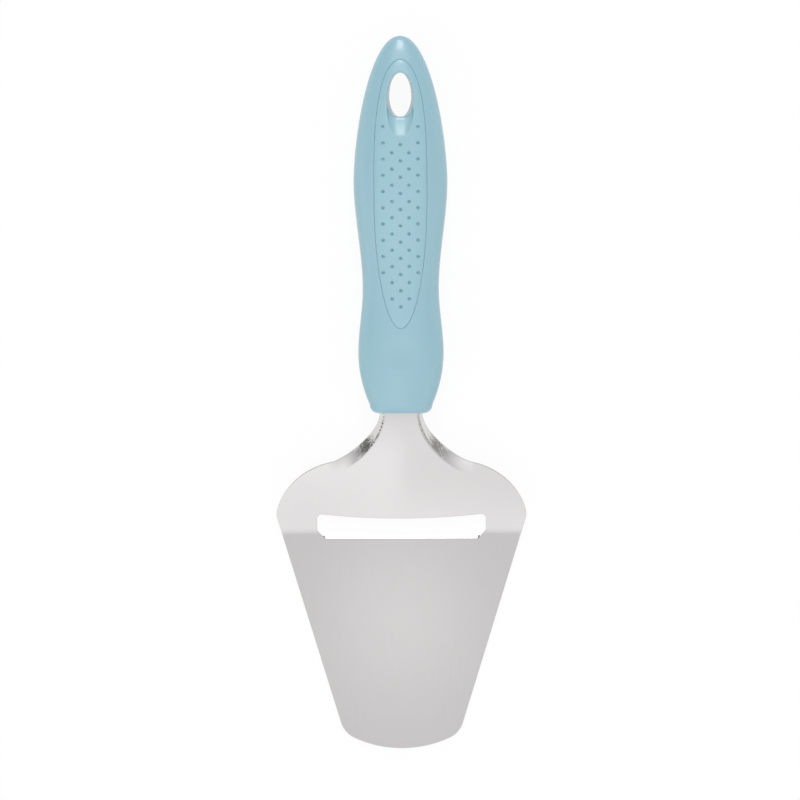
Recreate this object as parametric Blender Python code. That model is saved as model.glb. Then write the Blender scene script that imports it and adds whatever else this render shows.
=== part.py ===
"""Cheese plane: a stamped steel blade in a moulded handle with two pitted grip pads.

Lengths are metres. +Y runs along the tool to its hanging end, +X goes across it and +Z is up.
The tool lies on z = 0 with the sole of its blade and the palm swell of its handle.
Before the last shift to the middle of the tool, y = 0 is the handle's end face at the neck.
"""

import math

import bmesh
import bpy
from mathutils import Vector
from mathutils.geometry import interpolate_bezier

# Steel sheet
SHEET = 0.0010
BLADE_WIDTH = 0.0842
BEND_TO_TIP = 0.0735
BEND_TO_WIDEST = 0.0054
BEND_TO_HANDLE = 0.0394
SIDE_TAPER = math.radians(17.2)
WIDEST_RADIUS = 0.0046
TIP_CORNER_RADIUS = 0.0083
TIP_END_RADIUS = 0.0388
RISE_ANGLE = math.radians(15)
BEND_RADIUS = 0.010
LEVEL_RADIUS = 0.070
LEVEL_BEFORE_HANDLE = 0.005
RIDGE_SLOPE = math.radians(2)
RIDGE_ROUND = 0.003

# Shoulders and folded neck
NECK_WIDTH = 0.01365
TURN_WIDTH = 0.0467
TURN_TO_HANDLE = 0.01627
TURN_ANGLE = math.radians(11.5)
FLANGE_WIDTH = 0.0042
FLANGE_ANGLE = math.radians(78)
FLANGE_BEND_RADIUS = 0.0009
FLANGE_FADE = 0.0165
FLANGE_TAIL = 0.2
FLAT_STRIP = 0.0009

# Pulls of the shoulder's curves at their ends, as parts of the curve's width or height
NECK_PULL = 0.453
TURN_INNER_PULL = 0.162
TURN_OUTER_PULL = 0.752
WIDEST_PULL = 0.2255

# Slot and cutting lip
SLOT_LENGTH = 0.0568
SLOT_WIDTH = 0.0071
SLOT_SAG = 0.00145
SLOT_CORNER_RADIUS = 0.0015
LIP_TO_BEND = 0.0016
LIP_LENGTH = 0.0538
SLOT_CHAMFER = 0.0015
GRIND_WIDTH = 0.0011
GRIND_LENGTH = 0.0518
GRIND_END = 0.0010
EDGE_THICKNESS = 0.0002

# Tang inside the handle
TANG_LENGTH = 0.060
TANG_WIDTH = 0.0100
TANG_CORNER_RADIUS = 0.0025
TANG_FLANGE_LENGTH = 0.008
TANG_FADE_LENGTH = 0.012
KEY_HOLE_COUNT = 2
KEY_HOLE_DIAMETER = 0.0045
KEY_HOLE_SPACING = 0.018
KEY_HOLE_TO_END = 0.009

# Handle, from its butt to its face
BUTT_TO_PALM = 0.0487
PALM_TO_WAIST = 0.0364
WAIST_TO_THUMB = 0.0216
THUMB_TO_FACE = 0.0205
PALM_WIDTH = 0.0317
WAIST_WIDTH = 0.0257
THUMB_WIDTH = 0.0288
RIM_WIDTH = 0.0212
PALM_THICKNESS = 0.0192
WAIST_THICKNESS = 0.0148
THUMB_THICKNESS = 0.0160
RIM_THICKNESS = 0.0128
RIM_ROUND = 0.0030
NOSE_POWER = 1.6
NOSE_ROOT = 0.48
SECTION_POWER = 2.3
RIM_BELOW_SHEET = 0.0011

# Thumb rest
DISH_LENGTH = 0.0130
DISH_WIDTH = 0.0150
DISH_DEPTH = 0.0007

# Grip pads
PAD_WIDTH = 0.0179
PAD_TO_BUTT = 0.0080
PAD_TO_THUMB = 0.0080
PAD_PEAK_BELOW_PALM = 0.0055
PAD_DEPTH = 0.0022
PAD_RAISE = 0.0004
PAD_RAISE_POWER = 8
PAD_BUTT_POWER = 3.2
PAD_THUMB_POWER = 2

# Pits of the grip pads
PIT_DIAMETER = 0.0013
PIT_FLOOR = 0.45
PIT_DEPTH = 0.0005
PIT_PITCH = 0.00546
INNER_COLUMN = 0.00287
OUTER_COLUMN = 0.00590
OUTER_COLUMN_SHIFT = 0.00065
PIT_TO_HOLE = 0.0062
PIT_EDGE_MARGIN = 0.0014
PIT_END_MARGIN = 0.0030
PIT_HOLE_MARGIN = 0.0022

# Hanging hole
HOLE_TO_BUTT = 0.0125
HOLE_LENGTH = 0.0148
HOLE_WIDTH = 0.0074
HOLE_PEAK = 0.0080
SCOOP_LENGTH = 0.0033
SCOOP_POWER = 2.4
SCOOP_FLARE_POWER = 3
HOLE_FLARE = 0.0009
HOLE_FLARE_AT_BUTT = 0.0003
HOLE_FLARE_POWER = 1.5
HOLE_LEVEL_AT_PAD = 1.2

CLEARANCE = 0.0003
CUT_OVERRUN = 0.004

# Counts of straight pieces in the curves, and of rows in the surfaces
CORNER_STEPS = 4
WIDENING_STEPS = 5
STRAIGHT_STEPS = 6
NECK_STEPS = 13
SHOULDER_STEPS = 14
SIDE_STEPS = 9
TIP_STEPS = 6
SLOT_ARC_STEPS = 5
SHEET_COLUMNS = 3
HANDLE_SEGMENTS = 32
NOSE_SECTIONS = 10
GRIP_SECTIONS = 13
THROAT_SECTIONS = 6
RIM_SECTIONS = 3
PAD_ROWS = 22
PAD_COLUMNS = 9
HOLE_SEGMENTS = 24
KEY_HOLE_SEGMENTS = 20
PIT_SEGMENTS = 8

# Places along y that follow from the sizes above
Y_THUMB = THUMB_TO_FACE
Y_WAIST = Y_THUMB + WAIST_TO_THUMB
Y_PALM = Y_WAIST + PALM_TO_WAIST
Y_BUTT = Y_PALM + BUTT_TO_PALM
Y_BEND = -BEND_TO_HANDLE
Y_WIDEST = Y_BEND + BEND_TO_WIDEST
Y_TIP = Y_BEND - BEND_TO_TIP
Y_LIP = Y_BEND - LIP_TO_BEND
Y_MIDDLE = (Y_BUTT + Y_TIP) / 2

Z_SOLE_SHEET = SHEET / 2
Z_NECK_SHEET = Z_SOLE_SHEET + (BEND_TO_HANDLE - LEVEL_BEFORE_HANDLE) * math.tan(RISE_ANGLE)
Z_HANDLE_RIM = Z_NECK_SHEET - RIM_BELOW_SHEET
Z_HANDLE_PALM = PALM_THICKNESS / 2 + PAD_RAISE


def ease(t):
    """Smooth step from 0 to 1 while t goes from 0 to 1."""
    t = min(1.0, max(0.0, t))
    return t * t * (3 - 2 * t)


def between(a, b, t):
    return a + (b - a) * t


def round_corner(x, y, radius, start, end, steps):
    """Points on an arc about (x, y) from one angle to another."""
    angles = [between(start, end, i / steps) for i in range(steps + 1)]
    return [(x + radius * math.cos(a), y + radius * math.sin(a)) for a in angles]


def bezier(start, start_pull, end_pull, end, steps):
    points = [Vector((p[0], p[1], 0)) for p in (start, start_pull, end_pull, end)]
    return [(p.x, p.y) for p in interpolate_bezier(*points, steps + 1)]


# Plan outline of the sheet, right half


def tang_outline():
    """Right edge of the tang, from its flat far end to the handle's face."""
    half = TANG_WIDTH / 2
    r = TANG_CORNER_RADIUS
    points = round_corner(half - r, TANG_LENGTH - r, r, math.pi / 2, 0, CORNER_STEPS)
    widening_end = TANG_FLANGE_LENGTH
    widening_start = TANG_FLANGE_LENGTH + TANG_FADE_LENGTH
    straight = widening_start - (TANG_LENGTH - r)
    for i in range(1, STRAIGHT_STEPS):
        points.append((half, TANG_LENGTH - r + straight * i / STRAIGHT_STEPS))
    for i in range(WIDENING_STEPS + 1):
        t = i / WIDENING_STEPS
        half_width_here = between(half, NECK_WIDTH / 2, ease(t))
        points.append((half_width_here, between(widening_start, widening_end, t)))
    points.append((NECK_WIDTH / 2, TANG_FLANGE_LENGTH / 2))
    return points


def shoulder_outline():
    """Right edge from the handle's face along the neck and shoulder to the widest place."""
    neck = (NECK_WIDTH / 2, 0.0)
    turn = (TURN_WIDTH / 2, -TURN_TO_HANDLE)
    widest = (BLADE_WIDTH / 2, Y_WIDEST)
    along = (math.cos(TURN_ANGLE), -math.sin(TURN_ANGLE))
    neck_pull = NECK_PULL * TURN_TO_HANDLE
    inner_pull = TURN_INNER_PULL * (turn[0] - neck[0])
    outer_pull = TURN_OUTER_PULL * (widest[0] - turn[0])
    side_pull = WIDEST_PULL * (turn[1] - widest[1])
    inner = bezier(
        neck,
        (neck[0], -neck_pull),
        (turn[0] - inner_pull * along[0], turn[1] - inner_pull * along[1]),
        turn,
        NECK_STEPS,
    )
    outer = bezier(
        turn,
        (turn[0] + outer_pull * along[0], turn[1] + outer_pull * along[1]),
        (widest[0], widest[1] + side_pull),
        widest,
        SHOULDER_STEPS,
    )
    return inner + outer[1:]


def side_outline():
    """Right edge from the widest place down the tapered side and round the tip to x = 0."""
    centre = BLADE_WIDTH / 2 - WIDEST_RADIUS
    points = round_corner(centre, Y_WIDEST, WIDEST_RADIUS, 0, -SIDE_TAPER, CORNER_STEPS + 1)[1:]
    start = Vector(points[-1])
    outward = Vector((math.cos(SIDE_TAPER), -math.sin(SIDE_TAPER)))
    down = Vector((-math.sin(SIDE_TAPER), -math.cos(SIDE_TAPER)))
    end_centre = Vector((0, Y_TIP + TIP_END_RADIUS))
    # The corner's centre is one radius inside the side and one radius inside the end arc.
    base = start - outward * TIP_CORNER_RADIUS - end_centre
    reach = TIP_END_RADIUS - TIP_CORNER_RADIUS
    b = base.dot(down)
    run = -b + math.sqrt(b * b - base.dot(base) + reach * reach)
    corner = end_centre + base + down * run
    side_end = corner + outward * TIP_CORNER_RADIUS
    for i in range(1, SIDE_STEPS):
        points.append(tuple(start.lerp(side_end, i / SIDE_STEPS)))
    to_end = (corner - end_centre).normalized()
    end_angle = math.atan2(to_end.y, to_end.x)
    r = TIP_CORNER_RADIUS
    points += round_corner(corner.x, corner.y, r, -SIDE_TAPER, end_angle, CORNER_STEPS + 1)
    r = TIP_END_RADIUS
    end_arc = round_corner(0, end_centre.y, r, end_angle, -math.pi / 2, TIP_STEPS)
    return points + end_arc[1:]


# Heights of the sheet


def spine_height(y):
    """Height of the sheet's middle along x = 0: flat sole, bend, rise and level neck."""
    slope = math.tan(RISE_ANGLE)
    tangent = math.tan(RISE_ANGLE / 2)
    low = Y_BEND - BEND_RADIUS * tangent
    low_end = Y_BEND + BEND_RADIUS * tangent * math.cos(RISE_ANGLE)
    level = -LEVEL_BEFORE_HANDLE
    high = level + LEVEL_RADIUS * tangent
    high_start = level - LEVEL_RADIUS * tangent * math.cos(RISE_ANGLE)
    if y <= low:
        return Z_SOLE_SHEET
    if y < low_end:
        return Z_SOLE_SHEET + BEND_RADIUS - math.sqrt(BEND_RADIUS**2 - (y - low) ** 2)
    if y <= high_start:
        return Z_SOLE_SHEET + (y - Y_BEND) * slope
    if y < high:
        return Z_NECK_SHEET - LEVEL_RADIUS + math.sqrt(LEVEL_RADIUS**2 - (high - y) ** 2)
    return Z_NECK_SHEET


def ridge_drop(x, y):
    """How far the raised plate falls to its sides from the soft ridge along its middle."""
    growth = ease((y - Y_BEND) / (BEND_TO_HANDLE - TURN_TO_HANDLE)) * ease(-y / TURN_TO_HANDLE)
    return growth * math.tan(RIDGE_SLOPE) * (math.hypot(x, RIDGE_ROUND) - RIDGE_ROUND)


def flange_angle(y):
    """Fold of the sheet's edge: full at the handle, fading into the shoulder and the tang."""
    if y < 0:
        t = min(1.0, -y / FLANGE_FADE)
        return FLANGE_ANGLE * (1 - between(ease(t), t**4, FLANGE_TAIL))
    return FLANGE_ANGLE * (1 - ease((y - TANG_FLANGE_LENGTH) / TANG_FADE_LENGTH))


def flange_place(u, angle, width):
    """Run and drop from the fold's inner end to the place u in from the edge of a folded strip."""
    radius = FLANGE_BEND_RADIUS
    outer = width - radius * angle / 2
    inner = width + radius * angle / 2
    if u >= inner:
        return inner - u, 0.0
    if u > outer:
        turned = (inner - u) / radius
        return radius * math.sin(turned), radius * (1 - math.cos(turned))
    rest = outer - u
    run = radius * math.sin(angle) + rest * math.cos(angle)
    return run, radius * (1 - math.cos(angle)) + rest * math.sin(angle)


def strip_stations(width):
    """Places across the folded strip, from the edge to just inside the fold."""
    reach = FLANGE_BEND_RADIUS * FLANGE_ANGLE / 2
    bend = [between(width - reach, width + reach, i / 3) for i in range(4)]
    return [0.0, (width - reach) / 2] + bend + [width + reach + FLAT_STRIP]


def sheet_half_row(point, inward, angle, growth):
    """One row of the right half of the sheet, from its edge to x = 0."""
    width = FLANGE_WIDTH + growth
    x, y = point
    edge = Vector((x, y)) - inward * growth * math.cos(angle)
    straight = ease((-y - FLANGE_FADE) / FLANGE_FADE)
    if y > TANG_FLANGE_LENGTH:
        straight = ease((y - TANG_FLANGE_LENGTH) / TANG_FADE_LENGTH)
    heading = inward.lerp(Vector((-1, 0)), straight)
    heading = heading.normalized() if heading.length > 0 else Vector((-1, 0))
    stations = strip_stations(width)
    edge_run = flange_place(0.0, angle, width)[0]
    reach = edge_run - flange_place(stations[-1], angle, width)[0]
    widest_strip = 3 / 4 * edge.x
    shrink = min(1.0, widest_strip / reach)
    row = []
    for u in stations:
        run, drop = flange_place(u * shrink, angle, width)
        place = edge + heading * (edge_run - run)
        row.append((place.x, place.y, drop))
    last_x, last_y, last_drop = row[-1]
    for i in range(1, SHEET_COLUMNS + 1):
        row.append((between(last_x, 0, i / SHEET_COLUMNS), last_y, last_drop))
    return row


def sheet_mesh(outline, growth=0.0):
    """Middle surface of the sheet inside an outline, as rows across the tool."""
    rows = []
    for i, point in enumerate(outline):
        before = Vector(outline[max(0, i - 1)])
        after = Vector(outline[min(len(outline) - 1, i + 1)])
        along = (after - before).normalized()
        inward = Vector((along.y, -along.x))
        half = sheet_half_row(point, inward, flange_angle(point[1]), growth)
        right = [(x, y, spine_height(y) - ridge_drop(x, y) - drop) for x, y, drop in half]
        left = [(-x, y, z) for x, y, z in right[-2::-1]]
        rows.append(right + left)
    mesh = grid_mesh(rows)
    flat = math.radians(0.05)
    bmesh.ops.dissolve_limit(mesh, angle_limit=flat, verts=mesh.verts, edges=mesh.edges)
    return mesh


# Mesh building


def grid_mesh(rows):
    mesh = bmesh.new()
    grid = [[mesh.verts.new(p) for p in row] for row in rows]
    for upper, lower in zip(grid, grid[1:]):
        for i in range(len(upper) - 1):
            mesh.faces.new((upper[i], upper[i + 1], lower[i + 1], lower[i]))
    bmesh.ops.remove_doubles(mesh, verts=mesh.verts, dist=1e-6)
    return mesh


def loft_mesh(rings):
    """Closed body through rings of equally many points, with a flat or pointed face at each end."""
    mesh = bmesh.new()
    loops = [[mesh.verts.new(p) for p in ring] for ring in rings]
    for lower, upper in zip(loops, loops[1:]):
        for i, start in enumerate(lower):
            j = (i + 1) % len(lower)
            mesh.faces.new((start, lower[j], upper[j], upper[i]))
    mesh.faces.new(loops[0][::-1])
    mesh.faces.new(loops[-1])
    bmesh.ops.remove_doubles(mesh, verts=mesh.verts, dist=1e-6)
    bmesh.ops.recalc_face_normals(mesh, faces=mesh.faces)
    return mesh


def prism_mesh(outline, low, high):
    """Upright prism over a plan outline."""
    return loft_mesh([[(x, y, z) for x, y in outline] for z in (low, high)])


def material(name, color, metallic, roughness):
    result = bpy.data.materials.new(name)
    result.use_nodes = True
    shader = result.node_tree.nodes["Principled BSDF"]
    shader.inputs["Base Color"].default_value = (*color, 1)
    shader.inputs["Metallic"].default_value = metallic
    shader.inputs["Roughness"].default_value = roughness
    result.diffuse_color = (*color, 1)
    return result


def add_object(name, mesh, parent, look=None):
    data = bpy.data.meshes.new(name)
    mesh.to_mesh(data)
    mesh.free()
    result = bpy.data.objects.new(name, data)
    bpy.context.scene.collection.objects.link(result)
    result.parent = parent
    if look:
        data.materials.append(look)
        data.shade_smooth()
        data.set_sharp_from_angle(angle=math.radians(35))
    return result


def add_cutter(name, mesh, parent):
    result = add_object(name, mesh, parent)
    result.hide_render = True
    result.display_type = "WIRE"
    return result


def cut(target, cutter):
    modifier = target.modifiers.new("cut_" + cutter.name, "BOOLEAN")
    modifier.operation = "DIFFERENCE"
    modifier.solver = "EXACT"
    modifier.object = cutter


# Blade


def slot_outline():
    """Plan of the slot: straight cutting lip, chamfers at its ends and a sagging far edge."""
    half = SLOT_LENGTH / 2
    r = SLOT_CORNER_RADIUS
    far = Y_LIP + SLOT_WIDTH
    right = [(LIP_LENGTH / 2, Y_LIP), (half, Y_LIP + SLOT_CHAMFER)]
    right += round_corner(half - r, far - r, r, 0, math.pi / 2, CORNER_STEPS)
    for i in range(1, SLOT_ARC_STEPS):
        across = (half - r) * (1 - i / SLOT_ARC_STEPS)
        right.append((across, far - SLOT_SAG * (1 - (across / (half - r)) ** 2)))
    left = [(-x, y) for x, y in reversed(right)]
    return right + [(0.0, far - SLOT_SAG)] + left


def grind_mesh():
    """Wedge above the cutting lip: its face leaves the ground edge and runs out at both ends."""
    slope = (SHEET - EDGE_THICKNESS) / GRIND_WIDTH
    front = Y_LIP + GRIND_WIDTH
    back = Y_LIP - GRIND_WIDTH - SHEET
    high = SHEET + CUT_OVERRUN
    section = [
        (front, EDGE_THICKNESS - slope * (front - Y_LIP)),
        (front, high),
        (back, high),
        (back, EDGE_THICKNESS + slope * (Y_LIP - back)),
    ]
    full = GRIND_LENGTH / 2
    out = full + GRIND_END
    lifts = ((-out, SHEET), (-full, 0.0), (full, 0.0), (out, SHEET))
    return loft_mesh([[(x, y, z + lift) for y, z in section] for x, lift in lifts])


def key_hole_mesh(diameter):
    """Upright pins at the tang's key holes."""
    count = KEY_HOLE_SEGMENTS
    mesh = bmesh.new()
    for i in range(KEY_HOLE_COUNT):
        y = TANG_LENGTH - KEY_HOLE_TO_END - i * KEY_HOLE_SPACING
        circle = round_corner(0, y, diameter / 2, 0, 2 * math.pi, count)[:-1]
        rings = []
        for z in (Z_NECK_SHEET - CUT_OVERRUN, Z_NECK_SHEET + CUT_OVERRUN):
            rings.append([mesh.verts.new((px, py, z)) for px, py in circle])
        mesh.faces.new(rings[0][::-1])
        mesh.faces.new(rings[1])
        for j in range(count):
            k = (j + 1) % count
            mesh.faces.new((rings[0][j], rings[0][k], rings[1][k], rings[1][j]))
    return mesh


def thicken(target, thickness):
    modifier = target.modifiers.new("sheet", "SOLIDIFY")
    modifier.thickness = thickness
    modifier.offset = 0
    modifier.use_even_offset = True
    modifier.use_quality_normals = True


def build_blade(parent, look):
    outline = tang_outline() + shoulder_outline() + side_outline()
    blade = add_object("blade", sheet_mesh(outline), parent, look)
    thicken(blade, SHEET)
    slot = prism_mesh(slot_outline(), -CUT_OVERRUN, Z_NECK_SHEET)
    cut(blade, add_cutter("slot_cutter", slot, parent))
    cut(blade, add_cutter("grind_cutter", grind_mesh(), parent))
    cut(blade, add_cutter("key_hole_cutter", key_hole_mesh(KEY_HOLE_DIAMETER), parent))
    return blade


def tang_socket_cutter(parent):
    """Space for the tang with its clearance, crossed by the posts that key it."""
    neck = [p for p in shoulder_outline() if p[1] > -CUT_OVERRUN]
    mesh = sheet_mesh(tang_outline() + neck, CLEARANCE)
    socket = add_cutter("socket_cutter", mesh, parent)
    thicken(socket, SHEET + 2 * CLEARANCE)
    posts = key_hole_mesh(KEY_HOLE_DIAMETER - 2 * CLEARANCE)
    cut(socket, add_cutter("post_cutter", posts, parent))
    return socket


# Handle


def handle_half(y, palm, waist, thumb, rim):
    """Half width or half thickness of the handle at y, from its four sizes."""
    if y >= Y_PALM:
        toward_butt = min(1.0, (y - Y_PALM) / BUTT_TO_PALM)
        return palm / 2 * (1 - toward_butt**NOSE_POWER) ** NOSE_ROOT
    if y >= Y_WAIST:
        return between(waist, palm, ease((y - Y_WAIST) / PALM_TO_WAIST)) / 2
    if y >= Y_THUMB:
        return between(thumb, waist, ease((y - Y_THUMB) / WAIST_TO_THUMB)) / 2
    toward_rim = (Y_THUMB - y) / (THUMB_TO_FACE - RIM_ROUND)
    full = between(thumb, rim, min(1.0, toward_rim) ** 2) / 2
    if y >= RIM_ROUND:
        return full
    return full - RIM_ROUND * (1 - math.sqrt(1 - (1 - y / RIM_ROUND) ** 2))


def half_width(y):
    return handle_half(y, PALM_WIDTH, WAIST_WIDTH, THUMB_WIDTH, RIM_WIDTH)


def half_thickness(y):
    return handle_half(y, PALM_THICKNESS, WAIST_THICKNESS, THUMB_THICKNESS, RIM_THICKNESS)


def axis_height(y):
    return between(Z_HANDLE_RIM, Z_HANDLE_PALM, ease(y / Y_PALM))


def dish_depth(x, y):
    across = 2 * x / DISH_WIDTH
    along = 2 * (y - Y_THUMB) / DISH_LENGTH
    return DISH_DEPTH * max(0.0, 1 - across**2 - along**2) ** 2


def skin_height(x, y, side):
    """Height of the handle's skin, on its upper side (1) or underside (-1)."""
    across = min(1.0, abs(x) / half_width(y))
    rise = half_thickness(y) * (1 - across**SECTION_POWER) ** (1 / SECTION_POWER)
    if side > 0:
        rise -= dish_depth(x, y)
    return axis_height(y) + side * rise


def handle_ring(y):
    """Section of the handle, a rounded oval with the thumb rest pressed into its upper side."""
    ring = []
    power = 2 / SECTION_POWER
    for i in range(HANDLE_SEGMENTS):
        angle = 2 * math.pi * i / HANDLE_SEGMENTS
        c = math.cos(angle)
        s = math.sin(angle)
        x = half_width(y) * math.copysign(abs(c) ** power, c)
        z = half_thickness(y) * math.copysign(abs(s) ** power, s)
        if s > 0:
            z -= dish_depth(x, y)
        ring.append((x, y, axis_height(y) + z))
    return ring


def handle_stations():
    """Places of the sections: close together where the butt and the rim turn in."""
    turns = [math.pi / 2 * i / NOSE_SECTIONS for i in range(NOSE_SECTIONS)]
    nose = [Y_BUTT - BUTT_TO_PALM * (1 - math.cos(turn)) for turn in turns]
    grip = [between(Y_PALM, Y_THUMB, i / GRIP_SECTIONS) for i in range(GRIP_SECTIONS)]
    throat = [between(Y_THUMB, RIM_ROUND, i / THROAT_SECTIONS) for i in range(THROAT_SECTIONS)]
    turns = [math.pi / 2 * i / RIM_SECTIONS for i in range(RIM_SECTIONS + 1)]
    rim = [RIM_ROUND * (1 - math.sin(turn)) for turn in turns]
    return nose + grip + throat + rim


def build_handle(parent, look):
    mesh = loft_mesh([handle_ring(y) for y in handle_stations()])
    body = add_object("handle_body", mesh, parent, look)
    cut(body, add_cutter("front_pocket_cutter", pad_mesh(1, CLEARANCE), parent))
    cut(body, add_cutter("back_pocket_cutter", pad_mesh(-1, CLEARANCE), parent))
    return body


# Grip pads


PAD_PEAK = Y_PALM - PAD_PEAK_BELOW_PALM
PAD_BUTT_END = Y_BUTT - PAD_TO_BUTT
PAD_THUMB_END = Y_THUMB + PAD_TO_THUMB


def pad_power(t):
    return PAD_BUTT_POWER if t > 0 else PAD_THUMB_POWER


def pad_place(t, growth):
    """Place along y and half width of the pad, with t from -1 at its thumb end to 1."""
    end = PAD_BUTT_END if t > 0 else PAD_THUMB_END
    length = abs(end - PAD_PEAK) + growth
    half = (PAD_WIDTH / 2 + growth) * math.sqrt(max(0.0, 1 - abs(t) ** pad_power(t)))
    return PAD_PEAK + t * length, half


def pad_mesh(side, growth=0.0):
    """Pad between the skin's raised crown and its seat. With growth it is the pocket's cutter."""
    levels = ([], [])
    for i in range(PAD_ROWS + 1):
        t = math.sin(math.pi * (i / PAD_ROWS - 0.5))
        y, half = pad_place(t, growth)
        for level in levels:
            level.append([])
        for j in range(PAD_COLUMNS + 1):
            across = 2 * j / PAD_COLUMNS - 1
            x = half * across
            rim = min(1.0, math.sqrt((x / (PAD_WIDTH / 2 + growth)) ** 2 + abs(t) ** pad_power(t)))
            raised = CUT_OVERRUN if growth else PAD_RAISE * (1 - rim**PAD_RAISE_POWER)
            skin = skin_height(x, y, side)
            levels[0][-1].append((x, y, skin + side * raised))
            levels[1][-1].append((x, y, skin - side * (PAD_DEPTH + growth)))
    return shell_between(*levels)


def shell_between(outer, inner):
    """Closed body between two grids of equal size."""
    mesh = bmesh.new()
    grids = [[[mesh.verts.new(p) for p in row] for row in level] for level in (outer, inner)]
    rows = len(outer)
    columns = len(outer[0])
    for grid in grids:
        for i in range(rows - 1):
            for j in range(columns - 1):
                quad = (grid[i][j], grid[i][j + 1], grid[i + 1][j + 1], grid[i + 1][j])
                mesh.faces.new(quad)
    for i in range(rows - 1):
        for j in (0, columns - 1):
            ends = [(grids[0][i][j], grids[0][i + 1][j]), (grids[1][i + 1][j], grids[1][i][j])]
            mesh.faces.new(ends[0] + ends[1])
    for i in (0, rows - 1):
        for j in range(columns - 1):
            ends = [(grids[0][i][j], grids[0][i][j + 1]), (grids[1][i][j + 1], grids[1][i][j])]
            mesh.faces.new(ends[0] + ends[1])
    bmesh.ops.remove_doubles(mesh, verts=mesh.verts, dist=1e-6)
    bmesh.ops.dissolve_degenerate(mesh, edges=mesh.edges, dist=1e-7)
    bmesh.ops.recalc_face_normals(mesh, faces=mesh.faces)
    return mesh


def pit_places():
    """Centres of the pits: five columns, staggered by half a pitch, clear of hole and edge."""
    hole = hole_outline(HOLE_LEVEL_AT_PAD)
    start = Y_BUTT - HOLE_TO_BUTT - HOLE_LENGTH - SCOOP_LENGTH - PIT_TO_HOLE
    columns = [(0.0, 0.0)]
    for sign in (-1, 1):
        columns.append((sign * INNER_COLUMN, PIT_PITCH / 2))
        columns.append((sign * OUTER_COLUMN, OUTER_COLUMN_SHIFT))
    places = []
    for x, shift in columns:
        y = start + shift + PIT_PITCH * math.ceil((PAD_BUTT_END - start) / PIT_PITCH)
        while y > PAD_THUMB_END + PIT_END_MARGIN:
            if pit_fits(x, y, hole):
                places.append((x, y))
            y -= PIT_PITCH
    return places


def pit_fits(x, y, hole):
    end = PAD_BUTT_END if y > PAD_PEAK else PAD_THUMB_END
    t = (y - PAD_PEAK) / abs(end - PAD_PEAK)
    if abs(t) >= 1 or abs(x) > pad_place(t, 0)[1] - PIT_EDGE_MARGIN:
        return False
    beside = abs(x) > max(p[0] for p in hole) and y < max(p[1] for p in hole)
    if y > min(p[1] for p in hole) and not beside:
        return False
    return min(math.dist((x, y), p) for p in hole) > PIT_HOLE_MARGIN


def pits_mesh(side):
    """Blunt cones that press the pits into a pad."""
    mesh = bmesh.new()
    for x, y in pit_places():
        top = skin_height(x, y, side) + side * PAD_RAISE
        low = top - side * PIT_DEPTH
        high = top + side * PIT_DEPTH
        rings = []
        for z, scale in ((low, PIT_FLOOR), (high, 2 - PIT_FLOOR)):
            radius = PIT_DIAMETER / 2 * scale
            circle = round_corner(x, y, radius, 0, 2 * math.pi, PIT_SEGMENTS)[:-1]
            rings.append([mesh.verts.new((px, py, z)) for px, py in circle])
        for ring in rings:
            mesh.faces.new(ring)
        for i in range(PIT_SEGMENTS):
            j = (i + 1) % PIT_SEGMENTS
            mesh.faces.new((rings[0][i], rings[0][j], rings[1][j], rings[1][i]))
    bmesh.ops.recalc_face_normals(mesh, faces=mesh.faces)
    return mesh


def build_pad(name, side, parent, look):
    pad = add_object(name, pad_mesh(side), parent, look)
    cut(pad, add_cutter(name + "_pit_cutter", pits_mesh(side), parent))
    return pad


# Hanging hole


def hole_outline(level):
    """Plan of the hanging hole at mid thickness (0) or at the skin (1), with its scooped end."""
    butt_end = Y_BUTT - HOLE_TO_BUTT
    peak = butt_end - HOLE_PEAK
    flare = level**HOLE_FLARE_POWER
    half = HOLE_WIDTH / 2 + HOLE_FLARE * flare
    near = HOLE_PEAK + HOLE_FLARE_AT_BUTT * flare
    far = HOLE_LENGTH - HOLE_PEAK + SCOOP_LENGTH * level**SCOOP_FLARE_POWER
    power = between(2, SCOOP_POWER, min(1.0, flare))
    points = []
    for i in range(HOLE_SEGMENTS):
        angle = 2 * math.pi * (i + 0.5) / HOLE_SEGMENTS
        c = math.cos(angle)
        s = math.sin(angle)
        if s >= 0:
            points.append((half * c, peak + near * s))
        else:
            x = half * math.copysign(abs(c) ** (2 / power), c)
            points.append((x, peak - far * abs(s) ** (2 / power)))
    return points


def hole_mesh():
    """Hole through handle and pads, narrowest at mid thickness and flared to both skins."""
    peak = Y_BUTT - HOLE_TO_BUTT - HOLE_PEAK
    reach = half_thickness(peak)
    levels = (0.33, 0.6, 0.8, 1.0, 1.2, 1.5)
    rings = []
    for level in [-step for step in reversed(levels)] + [0.0] + list(levels):
        z = axis_height(peak) + reach * level
        rings.append([(x, y, z) for x, y in hole_outline(abs(level))])
    return loft_mesh(rings)


def main():
    for item in list(bpy.data.objects):
        bpy.data.objects.remove(item, do_unlink=True)
    frame = bpy.data.objects.new("tool_frame", None)
    frame.location = (0, -Y_MIDDLE, 0)
    bpy.context.scene.collection.objects.link(frame)

    steel = material("satin_stainless_steel", (0.60, 0.59, 0.59), 1.0, 0.28)
    shell = material("pale_blue_polypropylene", (0.33, 0.56, 0.64), 0.0, 0.42)
    soft = material("pale_blue_soft_grip", (0.35, 0.57, 0.64), 0.0, 0.55)

    build_blade(frame, steel)
    body = build_handle(frame, shell)
    cut(body, tang_socket_cutter(frame))
    hole = add_cutter("hole_cutter", hole_mesh(), frame)
    cut(body, hole)
    for name, side in (("front_grip_pad", 1), ("back_grip_pad", -1)):
        cut(build_pad(name, side, frame, soft), hole)


main()
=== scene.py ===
"""Looks of a cheese plane: satin steel blade, pale blue moulded handle and pitted grip pads.

Lengths are metres. The outlines below use y = 0 at the handle's end face, as the CAD does, and
each finished piece is shifted to the tool's middle.
"""

import math

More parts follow.
